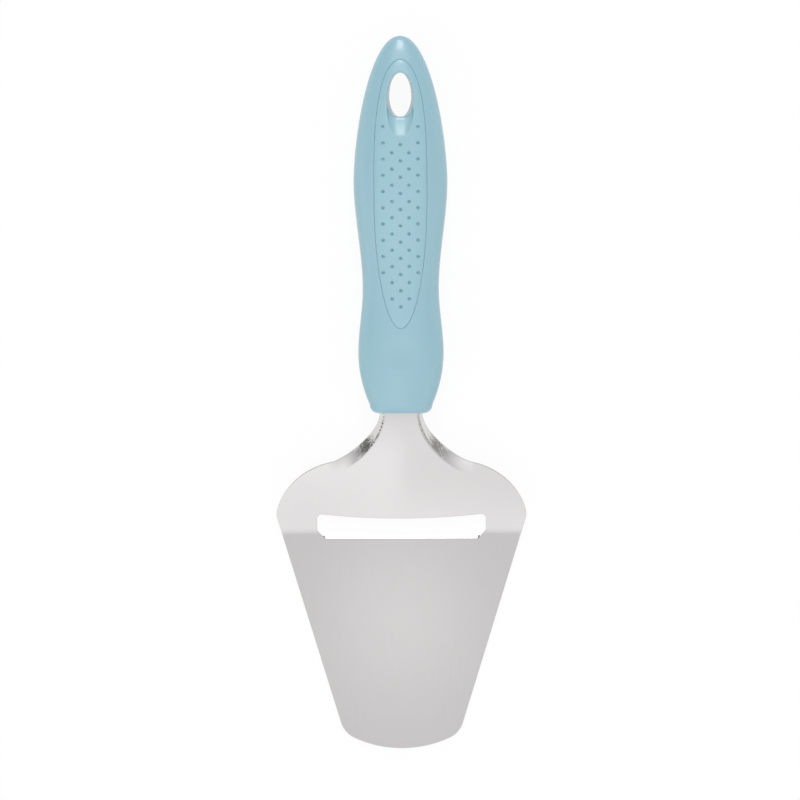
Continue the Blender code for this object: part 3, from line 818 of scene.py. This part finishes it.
def skin_point(angle, y):
    """Point of the handle's section at an angle round it."""
    power = 2 / SECTION_POWER
    c = math.cos(angle)
    s = math.sin(angle)
    x = half_width(y) * math.copysign(abs(c) ** power, c)
    z = half_thickness(y) * math.copysign(abs(s) ** power, s)
    if s > 0:
        z -= dish_depth(x, y)
    return Vector((x, y, axis_height(y) + z))


def skin_normal(angle, y):
    """Normal of the skin, from the growth of the oval's equation along each axis."""

    def level(x, at, z):
        width = max(half_width(at), 1e-6)
        thickness = max(half_thickness(at), 1e-6)
        rise = z - axis_height(at)
        if rise > 0:
            rise += dish_depth(x, at)
        return abs(x / width) ** SECTION_POWER + abs(rise / thickness) ** SECTION_POWER

    slope = []
    for axis in range(3):
        ahead = list(skin_point(angle, y))
        behind = list(ahead)
        ahead[axis] += 2 * NORMAL_STEP
        behind[axis] -= 2 * NORMAL_STEP
        slope.append(level(*ahead) - level(*behind))
    return Vector(slope).normalized()


def angle_at(x, y, side):
    """Angle round the section at which the skin has this x."""
    across = min(1.0, abs(x) / half_width(y))
    return side * math.acos(math.copysign(across ** (SECTION_POWER / 2), x))


def pad_outline(growth):
    """Closed plan outline of the grip pad, grown outward by a distance."""
    steps = 60
    right = []
    for i in range(2 * steps + 1):
        turn = math.pi / 2 * (i / steps - 1)
        power = PAD_BUTT_POWER if turn > 0 else PAD_THUMB_POWER
        t = abs(math.sin(turn)) ** (2 / power)
        end = PAD_BUTT_END if turn > 0 else PAD_THUMB_END
        length = abs(end - PAD_PEAK) + growth
        y = PAD_PEAK + math.copysign(t * length, turn)
        right.append(((PAD_WIDTH / 2 + growth) * math.cos(turn), y))
    right[0] = (0.0, right[0][1])
    right[-1] = (0.0, right[-1][1])
    return right + [(-x, y) for x, y in right[-2:0:-1]]


def pad_along(y):
    """How far y is toward the pad's end, shaped by that end's power: 0 where it is widest."""
    if y > PAD_PEAK:
        return abs((y - PAD_PEAK) / (PAD_BUTT_END - PAD_PEAK)) ** PAD_BUTT_POWER
    return abs((y - PAD_PEAK) / (PAD_THUMB_END - PAD_PEAK)) ** PAD_THUMB_POWER


def pad_rim(x, y):
    """How near a plan point is to the pad's edge: 0 in its middle and 1 at its edge."""
    return min(1.0, math.sqrt((2 * x / PAD_WIDTH) ** 2 + pad_along(y)))


def pad_top(x, y, side):
    return skin_height(x, y, side) + side * PAD_RAISE * (1 - pad_rim(x, y) ** PAD_RAISE_POWER)


def hole_outline(level, segments=96):
    """Plan of the hanging hole at mid thickness (0) or at the skin (1), with its scooped end."""
    half = HOLE_WIDTH / 2 + HOLE_FLARE * level
    near = HOLE_PEAK + HOLE_FLARE_AT_BUTT * level
    ramp = max(0.0, (level - SCOOP_START) / (HOLE_LEVEL_AT_PAD - SCOOP_START))
    far = HOLE_LENGTH - HOLE_PEAK + SCOOP_REACH * ramp**SCOOP_DISH
    power = between(2, SCOOP_POWER, min(1.0, level))
    points = []
    for i in range(segments):
        angle = 2 * math.pi * (i + 0.5) / segments
        c = math.cos(angle)
        s = math.sin(angle)
        if s >= 0:
            points.append((half * c, HOLE_CENTRE + near * s))
        else:
            x = half * math.copysign(abs(c) ** (2 / power), c)
            points.append((x, HOLE_CENTRE - far * abs(s) ** (2 / power)))
    return points


def hole_level(z):
    return abs(z - axis_height(HOLE_CENTRE)) / half_thickness(HOLE_CENTRE)


def hole_where(surface):
    """Loop where the hole's wall meets a surface given as a height over the plan."""
    loop = hole_outline(1.0)
    heights = [surface(x, y) for x, y in loop]
    for _ in range(12):
        loop = [hole_outline(hole_level(z))[i] for i, z in enumerate(heights)]
        heights = [surface(x, y) for x, y in loop]
    return [Vector((x, y, z)) for (x, y), z in zip(loop, heights)]


def hole_rings(start, end, steps):
    """Loops down the hole's wall between two loops, without the first."""
    rings = []
    for k in range(1, steps + 1):
        ring = []
        for i, (a, b) in enumerate(zip(start, end)):
            z = between(a.z, b.z, k / steps)
            x, y = hole_outline(hole_level(z))[i]
            ring.append(Vector((x, y, z)))
        rings.append(ring)
    return rings


def curve_rings(outer, corner, inner, steps):
    """Loops of a rounded edge that leaves one surface at outer and reaches another at inner.

    The loop at outer itself isn't among them.
    """
    rings = []
    for k in range(1, steps + 1):
        t = k / steps
        shares = ((1 - t) ** 2, 2 * t * (1 - t), t**2)
        rings.append(
            [a * shares[0] + c * shares[1] + b * shares[2] for a, c, b in zip(outer, corner, inner)]
        )
    return rings


def add_rings(shell, first, rings, normals=None):
    """Bands from a loop of point numbers through further loops. Returns the last one's numbers."""
    for ring in rings:
        following = shell.add_loop(ring, normals)
        shell.band(first, following)
        first = following
    return first


def handle_loop(shell, y):
    """Point numbers of a loop round the handle at y."""
    return [shell.add(skin_point(a, y), skin_normal(a, y)) for a in RING_ANGLES[:-1]]


def add_sections(shell, before, places):
    """Bands from a loop round the handle to loops at further places. Returns the last loop."""
    for y in places:
        loop = handle_loop(shell, y)
        shell.band(before, loop)
        before = loop
    return before


def unrolled(angles, places, numbers):
    """The handle's skin laid flat: plan points from angles and places, with point numbers."""
    return [((a * UNROLL_RADIUS, y), n) for a, y, n in zip(angles, places, numbers)]


def pocket_floor(x, y, side):
    """Height of a pocket's floor, which the pad's underside lies on."""
    return skin_height(x, y, side) - side * POCKET_DEPTH


def fill_floor(shell, plan, numbers, hole, hole_numbers, side):
    """Faces of a pocket's floor or a pad's underside, from its edge to the hanging hole."""
    borders = [list(zip(plan, numbers)), [((p.x, p.y), n) for p, n in zip(hole, hole_numbers)]]
    grid = plan_grid(spread(-0.008, 0.008, 0.002), spread(PAD_THUMB_END, PAD_BUTT_END, 0.002))
    shell.fill(borders, grid, lambda x, y: (Vector((x, y, pocket_floor(x, y, side))), None))


def build_handle(finish):
    """Handle body with its two pockets, and the hanging hole between their floors."""
    shell = Shell()
    high = PAD_BUTT_END + 0.0014
    low = PAD_THUMB_END - 0.0016

    # Butt, from the unrolled part to its end
    high_loop = handle_loop(shell, high)
    widths = spread(half_width(high) * 2 / HANDLE_WIDTHS[0], 0.0, 0.018)[1:-1] + [0.008, 0.003]
    shares = [(1 - width ** (1 / NOSE_ROOT)) ** (1 / NOSE_POWER) for width in widths]
    last = add_sections(shell, high_loop, [Y_PALM + BUTT_TO_PALM * share for share in shares])
    pole = shell.add((0, Y_BUTT, axis_height(Y_BUTT)), (0, 1, 0))
    shell.band(last, [pole] * RING_POINTS)

    # Neck end, from the unrolled part round the rim to the flat face
    low_loop = handle_loop(shell, low)
    rim = [RIM_ROUND * (1 - math.sin(math.pi / 2 * i / 10)) for i in range(10)]
    last = add_sections(shell, low_loop, spread(low, RIM_ROUND, 0.0008)[1:] + rim[1:])
    centre = Vector((0, 0, axis_height(0)))
    edge = [skin_point(a, 0.0) for a in RING_ANGLES[:-1]]
    rings = [[centre.lerp(p, scale) for p in edge] for scale in (1.0, 0.8, 0.5, 0.2)]
    last = add_rings(shell, last, rings, [(0, -1, 0)] * RING_POINTS)
    shell.band(last, [shell.add(centre, (0, -1, 0))] * RING_POINTS)

    # Skin round the two pads, unrolled
    columns = spread(high, low, 0.0012)[1:-1]
    seam = [shell.add(skin_point(math.pi, y), skin_normal(math.pi, y)) for y in columns]
    count = len(RING_ANGLES)
    outer = unrolled(RING_ANGLES, [high] * count, high_loop + high_loop[:1])
    outer += unrolled([math.pi] * len(seam), columns, seam)
    outer += unrolled(RING_ANGLES, [low] * count, low_loop + low_loop[:1])[::-1]
    outer += unrolled([-math.pi] * len(seam), columns, seam)[::-1]
    loops = [outer]
    floors = {}
    plan_top = pad_outline(SEAM_WIDTH + SEAM_ROUND)
    plan_wall = pad_outline(SEAM_WIDTH)
    for side in (1, -1):
        top = [Vector((x, y, skin_height(x, y, side))) for x, y in plan_top]
        corner = [Vector((x, y, skin_height(x, y, side))) for x, y in plan_wall]
        down = Vector((0, 0, -side))
        wall = [p + down * SEAM_ROUND for p in corner]
        deep = [p + down * POCKET_DEPTH for p in corner]
        angles = [angle_at(x, y, side) for x, y in plan_top]
        first = shell.add_loop(top, [skin_normal(a, p[1]) for a, p in zip(angles, plan_top)])
        loops.append(unrolled(angles, [p[1] for p in plan_top], first))
        floors[side] = add_rings(shell, first, curve_rings(top, corner, wall, 4) + [deep])
    grid = plan_grid(
        [a * UNROLL_RADIUS for a in spread(-math.pi + 0.09, math.pi - 0.09, 0.09)],
        spread(low + 0.001, high - 0.001, 0.0011),
    )

    def place(u, y):
        return skin_point(u / UNROLL_RADIUS, y), skin_normal(u / UNROLL_RADIUS, y)

    shell.fill(loops, grid, place)

    # Floors of the pockets, and the hole between them
    holes = {}
    for side in (1, -1):
        hole = hole_where(lambda x, y: pocket_floor(x, y, side))
        hole_numbers = shell.add_loop(hole)
        holes[side] = (hole, hole_numbers)
        fill_floor(shell, plan_wall, floors[side], hole, hole_numbers, side)
    rings = hole_rings(holes[1][0], holes[-1][0], 14)
    last = add_rings(shell, holes[1][1], rings[:-1])
    shell.band(last, holes[-1][1])
    return shell.to_object("moulded_handle", finish)


# Grip pads


def pit_places():
    """Centres of the pits: five columns, staggered by half a pitch, clear of hole and edge."""
    hole = hole_outline(HOLE_LEVEL_AT_PAD, 24)
    start = Y_BUTT - HOLE_TO_BUTT - HOLE_LENGTH - PIT_TO_HOLE
    columns = [(0.0, 0.0)]
    for sign in (-1, 1):
        columns.append((sign * INNER_COLUMN, PIT_PITCH / 2))
        columns.append((sign * OUTER_COLUMN, OUTER_COLUMN_SHIFT))
    places = []
    for x, shift in columns:
        y = start + shift + PIT_PITCH * math.ceil((PAD_BUTT_END - start) / PIT_PITCH)
        while y > PAD_THUMB_END + PIT_END_MARGIN:
            if pit_fits(x, y, hole):
                places.append((x, y))
            y -= PIT_PITCH
    return places


def pit_fits(x, y, hole):
    """Whether a pit centred here is clear of the pad's edge and of the hole, in plan."""
    along = pad_along(y)
    if along >= 1 or abs(x) > PAD_WIDTH / 2 * math.sqrt(1 - along) - PIT_EDGE_MARGIN:
        return False
    beside = abs(x) > max(p[0] for p in hole) and y < max(p[1] for p in hole)
    if y > min(p[1] for p in hole) and not beside:
        return False
    return min(math.dist((x, y), p) for p in hole) > PIT_HOLE_MARGIN


def build_pad(name, side, finish):
    """Grip pad in its pocket, with pits in its top and the hanging hole through it."""
    places = pit_places()
    pits = KDTree(len(places))
    for number, (x, y) in enumerate(places):
        pits.insert((x, y, 0), number)
    pits.balance()

    def top(x, y):
        distance = pits.find((x, y, 0))[2] / PIT_RADIUS
        pit = PIT_DEPTH * max(0.0, 1 - distance**2)
        return pad_top(x, y, side) - side * pit

    def top_point(x, y):
        return Vector((x, y, top(x, y)))

    def place(x, y):
        return top_point(x, y), normal_of(top_point, x, y)

    shell = Shell()
    down = Vector((0, 0, -side))

    # Outer edge and wall, with the corner's height taken a hair inside the edge
    plan = pad_outline(-PAD_EDGE_ROUND)
    wall_plan = pad_outline(0.0)
    edge = [top_point(x, y) for x, y in plan]
    corner = [Vector((x, y, top(x * 0.9999, y))) for x, y in wall_plan]
    wall = [p + down * PAD_EDGE_ROUND for p in corner]
    deep = [p + down * POCKET_DEPTH for p in corner]
    edge_numbers = shell.add_loop(edge, [normal_of(top_point, x, y) for x, y in plan])
    bottom_numbers = add_rings(shell, edge_numbers, curve_rings(edge, corner, wall, 5) + [deep])

    # Hole's rim and wall
    corner = hole_where(top)
    floor = hole_where(lambda x, y: pocket_floor(x, y, side))
    below = hole_rings(corner, floor, 12)[0]
    rim = [c + (b - c).normalized() * HOLE_RIM_ROUND for c, b in zip(corner, below)]
    rim_plan = []
    for p, out in zip(corner, outward_in_plan([(p.x, p.y) for p in corner])):
        rim_plan.append((p.x + out.x * HOLE_RIM_ROUND, p.y + out.y * HOLE_RIM_ROUND))
    rim_top = [top_point(x, y) for x, y in rim_plan]
    rim_numbers = shell.add_loop(rim_top, [normal_of(top_point, x, y) for x, y in rim_plan])
    rings = curve_rings(rim_top, corner, rim, 6) + hole_rings(rim, floor, 10)
    hole_bottom = add_rings(shell, rim_numbers, rings)

    # Top, on a grid with closer rings in and round each pit, and plain underside
    x_values = spread(-0.0086, 0.0086, 0.00095)
    y_values = spread(PAD_THUMB_END + 0.0006, PAD_BUTT_END - 0.0006, 0.0010)
    grid = plan_grid(x_values, y_values)
    grid = [p for p in grid if pits.find((p[0], p[1], 0))[2] > 1.45 * PIT_RADIUS]
    for x, y in places:
        grid.append((x, y))
        for scale in (0.3, 0.6, 0.8, 0.95, 1.1):
            grid += round_corner(x, y, PIT_RADIUS * scale, 0, 2 * math.pi, 14)[:-1]
    borders = [list(zip(plan, edge_numbers)), list(zip(rim_plan, rim_numbers))]
    shell.fill(borders, grid, place)
    fill_floor(shell, wall_plan, bottom_numbers, floor, hole_bottom, side)
    return shell.to_object(name, finish)


# Finishes


def hex_colour(text):
    """Linear colour from an sRGB hex value."""
    values = [int(text[i : i + 2], 16) / 255 for i in (0, 2, 4)]
    linear = [v / 12.92 if v <= 0.04045 else ((v + 0.055) / 1.055) ** 2.4 for v in values]
    return (*linear, 1.0)


# Colour sockets of the Mix node, which has others of the same names for other kinds of value
MIX_A, MIX_B, MIX_RESULT = 6, 7, 2


def set_inputs(tree, node, inputs):
    """Sets a node's inputs. Each is a value, an sRGB hex colour, or another node's output."""
    for key, value in inputs.items():
        if isinstance(value, bpy.types.NodeSocket):
            tree.links.new(value, node.inputs[key])
        else:
            node.inputs[key].default_value = hex_colour(value) if isinstance(value, str) else value


def add_node(tree, kind, inputs=None, **settings):
    """Adds a shader node with its settings and inputs, and returns its outputs."""
    node = tree.nodes.new("ShaderNode" + kind)
    for name, value in settings.items():
        setattr(node, name, value)
    set_inputs(tree, node, inputs or {})
    return node.outputs


def new_finish(name):
    finish = bpy.data.materials.new(name)
    finish.use_nodes = True
    return finish, finish.node_tree, finish.node_tree.nodes["Principled BSDF"]


def satin_stainless_steel():
    """Rolled stainless sheet with a fine satin polish: soft wide reflections, hardly any grain.

    The middle of the sole is painted brighter, a painted pool of light, and the folded flanges
    are rippled where the press has stretched them and painted lighter as a painted sheen.
    """
    finish, tree, shader = new_finish("satin_stainless_steel")
    coordinates = add_node(tree, "TexCoord")
    place = coordinates["Object"]

    # Rolling marks along the blade, 0.12 mm apart
    marks = add_node(tree, "VectorMath", {0: place, 1: (1.0, 0.03, 1.0)}, operation="MULTIPLY")[0]
    inputs = {"Vector": marks, "Scale": 1 / 0.00024, "Detail": 3.0, "Roughness": 0.6}
    grain = add_node(tree, "TexNoise", inputs)["Fac"]

    # Cloudy handling marks, 12 mm across
    inputs = {"Vector": place, "Scale": 1 / 0.024, "Detail": 2.0, "Roughness": 0.5}
    clouds = add_node(tree, "TexNoise", inputs)["Fac"]
    inputs = {"Value": clouds, "From Min": 0.3, "From Max": 0.7, "To Min": 0.20, "To Max": 0.25}
    rough = add_node(tree, "MapRange", inputs)[0]

    # Painted pool of light: the sole is painted brighter round a place in its middle, over an oval
    # of 84 by 96 mm
    middle = (0, Y_BEND - 0.030 - Y_MIDDLE, 0)
    aside = add_node(tree, "VectorMath", {0: place, 1: middle}, operation="SUBTRACT")[0]
    inputs = {0: aside, 1: (1 / 0.042, 1 / 0.048, 0.0)}
    aside = add_node(tree, "VectorMath", inputs, operation="MULTIPLY")[0]
    distance = add_node(tree, "VectorMath", {0: aside}, operation="LENGTH")["Value"]
    inputs = {"Value": distance, "From Max": 1.0, "To Min": 1.0, "To Max": 0.0}
    painted_glow = add_node(tree, "MapRange", inputs, interpolation_type="SMOOTHSTEP")[0]

    # Flanges, where the face leans to the side: painted lighter as a painted sheen, with ripples
    # 0.5 mm wide
    facing = add_node(tree, "SeparateXYZ", {0: coordinates["Normal"]})["X"]
    lean = add_node(tree, "Math", {0: facing}, operation="ABSOLUTE")[0]
    # Mask of faces leaning sideways, used for the painted sheen tone and for the real ripples
    inputs = {"Value": lean, "From Min": 0.16, "From Max": 0.32}
    folded = add_node(tree, "MapRange", inputs)[0]
    inputs = {"Vector": place, "Scale": 1 / 0.0010, "Detail": 2.0, "Roughness": 0.6}
    ripples = add_node(tree, "TexNoise", inputs)["Fac"]
    inputs = {"Strength": folded, "Distance": 0.00022, "Height": ripples}
    rippled = add_node(tree, "Bump", inputs)[0]

    # Plain tone and the painted glow tone, both with the grain, then the flanges' painted sheen
    # tone over them
    inputs = {"Factor": grain, MIX_A: "bdbbbb", MIX_B: "c4c2c2"}
    plain = add_node(tree, "Mix", inputs, data_type="RGBA")[MIX_RESULT]
    inputs = {"Factor": grain, MIX_A: "cac8c8", MIX_B: "d1cfcf"}
    glow_tone = add_node(tree, "Mix", inputs, data_type="RGBA")[MIX_RESULT]
    # Painted pool of light: the glow tone is mixed over the plain tone toward the sole's middle
    inputs = {"Factor": painted_glow, MIX_A: plain, MIX_B: glow_tone}
    tone = add_node(tree, "Mix", inputs, data_type="RGBA")[MIX_RESULT]
    # Painted sheen: faces that lean sideways are painted a lighter tone
    inputs = {"Factor": folded, MIX_A: tone, MIX_B: "dad9d8"}
    tone = add_node(tree, "Mix", inputs, data_type="RGBA")[MIX_RESULT]
    inputs = {"Height": grain, "Strength": 0.12, "Distance": 0.00002, "Normal": rippled}
    bump = add_node(tree, "Bump", inputs)[0]
    inputs = {"Base Color": tone, "Metallic": 1.0, "Roughness": rough, "Normal": bump}
    set_inputs(tree, shader, inputs)
    return finish


def moulded_plastic(name, low, high, roughness, texture, strength):
    """Pale blue moulded plastic: even colour with faint clouding, and a fine matt mould texture."""
    finish, tree, shader = new_finish(name)
    place = add_node(tree, "TexCoord")["Object"]
    inputs = {"Vector": place, "Scale": 1 / 0.018, "Detail": 3.0, "Roughness": 0.55}
    clouds = add_node(tree, "TexNoise", inputs)["Fac"]
    inputs = {"Factor": clouds, MIX_A: low, MIX_B: high}
    colour = add_node(tree, "Mix", inputs, data_type="RGBA")[MIX_RESULT]
    inputs = {"Vector": place, "Scale": 1 / texture, "Detail": 2.0, "Roughness": 0.6}
    grain = add_node(tree, "TexNoise", inputs)["Fac"]
    inputs = {"Height": grain, "Strength": strength, "Distance": 0.00003}
    bump = add_node(tree, "Bump", inputs)[0]
    inputs = {"Base Color": colour, "Roughness": roughness, "IOR": 1.49, "Normal": bump}
    set_inputs(tree, shader, inputs)
    return finish


# Floor, light and camera


def white_floor():
    """Pale floor that shows white to the camera and keeps a weak shadow."""
    finish, tree, shader = new_finish("white_floor")
    set_inputs(tree, shader, {"Base Color": "f4f4f4", "Roughness": 0.9})
    rays = add_node(tree, "LightPath")
    seen = rays["Is Camera Ray"]
    for kind in ("Is Glossy Ray", "Is Transmission Ray"):
        seen = add_node(tree, "Math", {0: seen, 1: rays[kind]}, operation="MAXIMUM")[0]
    inputs = {0: seen, 1: FLOOR_WHITE_SHARE}
    share = add_node(tree, "Math", inputs, operation="MULTIPLY")[0]
    white = add_node(tree, "Emission", {"Strength": 1.0})[0]
    mix = add_node(tree, "MixShader", {0: share, 1: shader.outputs[0], 2: white})[0]
    set_inputs(tree, tree.nodes["Material Output"], {"Surface": mix})
    return finish


def build_floor():
    """Plain square just below the tool."""
    corners = [(-1, -1), (1, -1), (1, 1), (-1, 1)]
    points = [(x * FLOOR_HALF, y * FLOOR_HALF, -FLOOR_DROP) for x, y in corners]
    data = bpy.data.meshes.new("floor")
    data.from_pydata(points, [], [(0, 1, 2, 3)])
    data.materials.append(white_floor())
    floor = add_object("floor", data)


def build_studio():
    """Soft white room: brighter overhead and beyond the handle, and dim to both sides of it."""
    world = bpy.data.worlds.new("studio")
    bpy.context.scene.world = world
    world.use_nodes = True
    tree = world.node_tree
    direction = add_node(tree, "TexCoord")["Generated"]
    total = ROOM_LEVEL
    # Direction of each soft patch's middle, its half angle in degrees, and the strength it adds
    patches = (
        ((0, -0.26, 0.966), 40, 0.54),
        ((0, -0.26, 0.966), 14, 0.10),
        ((0, -0.407, 0.914), 26, 0.25),
        ((-0.20, -0.49, 0.85), 24, 0.24),
        ((0.22, -0.49, 0.85), 24, -0.27),
        ((0, 0.62, 0.78), 28, 1.25),
        ((0, 0.95, 0.31), 30, 0.35),
        ((0, -0.95, 0.30), 58, 0.52),
        ((0.85, -0.40, 0.35), 50, 0.52),
        ((-0.85, -0.40, 0.35), 50, 0.76),
        ((0.85, 0, 0.52), 22, -0.42),
        ((-0.85, 0, 0.52), 22, -0.55),
        ((0.72, 0.50, 0.48), 38, -0.20),
        ((-0.72, 0.50, 0.48), 38, -0.42),
    )
    for around, half_angle, strength in patches:
        inputs = {0: direction, 1: Vector(around).normalized()}
        facing = add_node(tree, "VectorMath", inputs, operation="DOT_PRODUCT")["Value"]
        edge = math.cos(math.radians(half_angle))
        inputs = {"Value": facing, "From Min": edge, "From Max": 1.0, "To Max": strength}
        patch = add_node(tree, "MapRange", inputs, interpolation_type="SMOOTHSTEP")[0]
        total = add_node(tree, "Math", {0: total, 1: patch}, operation="ADD")[0]
    total = add_node(tree, "Math", {0: total, 1: ROOM_LEAST}, operation="MAXIMUM")[0]

    # The camera itself sees plain white behind the floor
    inputs = {"Factor": add_node(tree, "LightPath")["Is Camera Ray"], "A": total, "B": 1.0}
    shown = add_node(tree, "Mix", inputs, data_type="FLOAT")[0]
    set_inputs(tree, tree.nodes["Background"], {"Color": "ffffff", "Strength": shown})

    light = bpy.data.lights.new("key_softbox", "AREA")
    light.shape = "RECTANGLE"
    light.size, light.size_y = KEY_SIZE
    light.energy = KEY_WATTS
    key = add_object("key_softbox", light)
    key.location = KEY_PLACE
    key.rotation_euler = (Vector((0, 0, 0)) - key.location).to_track_quat("-Z", "Y").to_euler()


def build_camera():
    """Camera square above the tool, turned a little to follow how it lay in the photo."""
    camera = bpy.data.cameras.new("camera")
    camera.sensor_width = 36
    camera.lens = 36 * CAMERA_DISTANCE / (PHOTO_PIXELS * METRES_PER_PIXEL)
    camera.clip_start = 0.05
    camera.clip_end = 40
    result = add_object("camera", camera)
    result.location = (*CAMERA_PLACE, CAMERA_DISTANCE)
    result.rotation_euler = (0, 0, CAMERA_ROLL)
    bpy.context.scene.camera = result


def main():
    steel = satin_stainless_steel()
    hard = moulded_plastic("pale_blue_polypropylene", "92bec6", "9abccd", 0.20, 0.00025, 0.04)
    soft = moulded_plastic("pale_blue_soft_grip", "96c1c9", "9bbfcf", 0.22, 0.00018, 0.05)

    pieces = [
        (build_blade(steel), "blade", "blade_steel"),
        (build_handle(hard), "handle_body", "handle_plastic"),
        (build_pad("pitted_front_pad", 1, soft), "front_grip_pad", "grip_plastic"),
        (build_pad("pitted_back_pad", -1, soft), "back_grip_pad", "grip_plastic"),
    ]
    for piece, node, slot in pieces:
        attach(piece, "root")
        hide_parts(node)
    build_floor()
    build_studio()
    build_camera()
    bpy.context.scene.view_settings.view_transform = "Standard"


main()
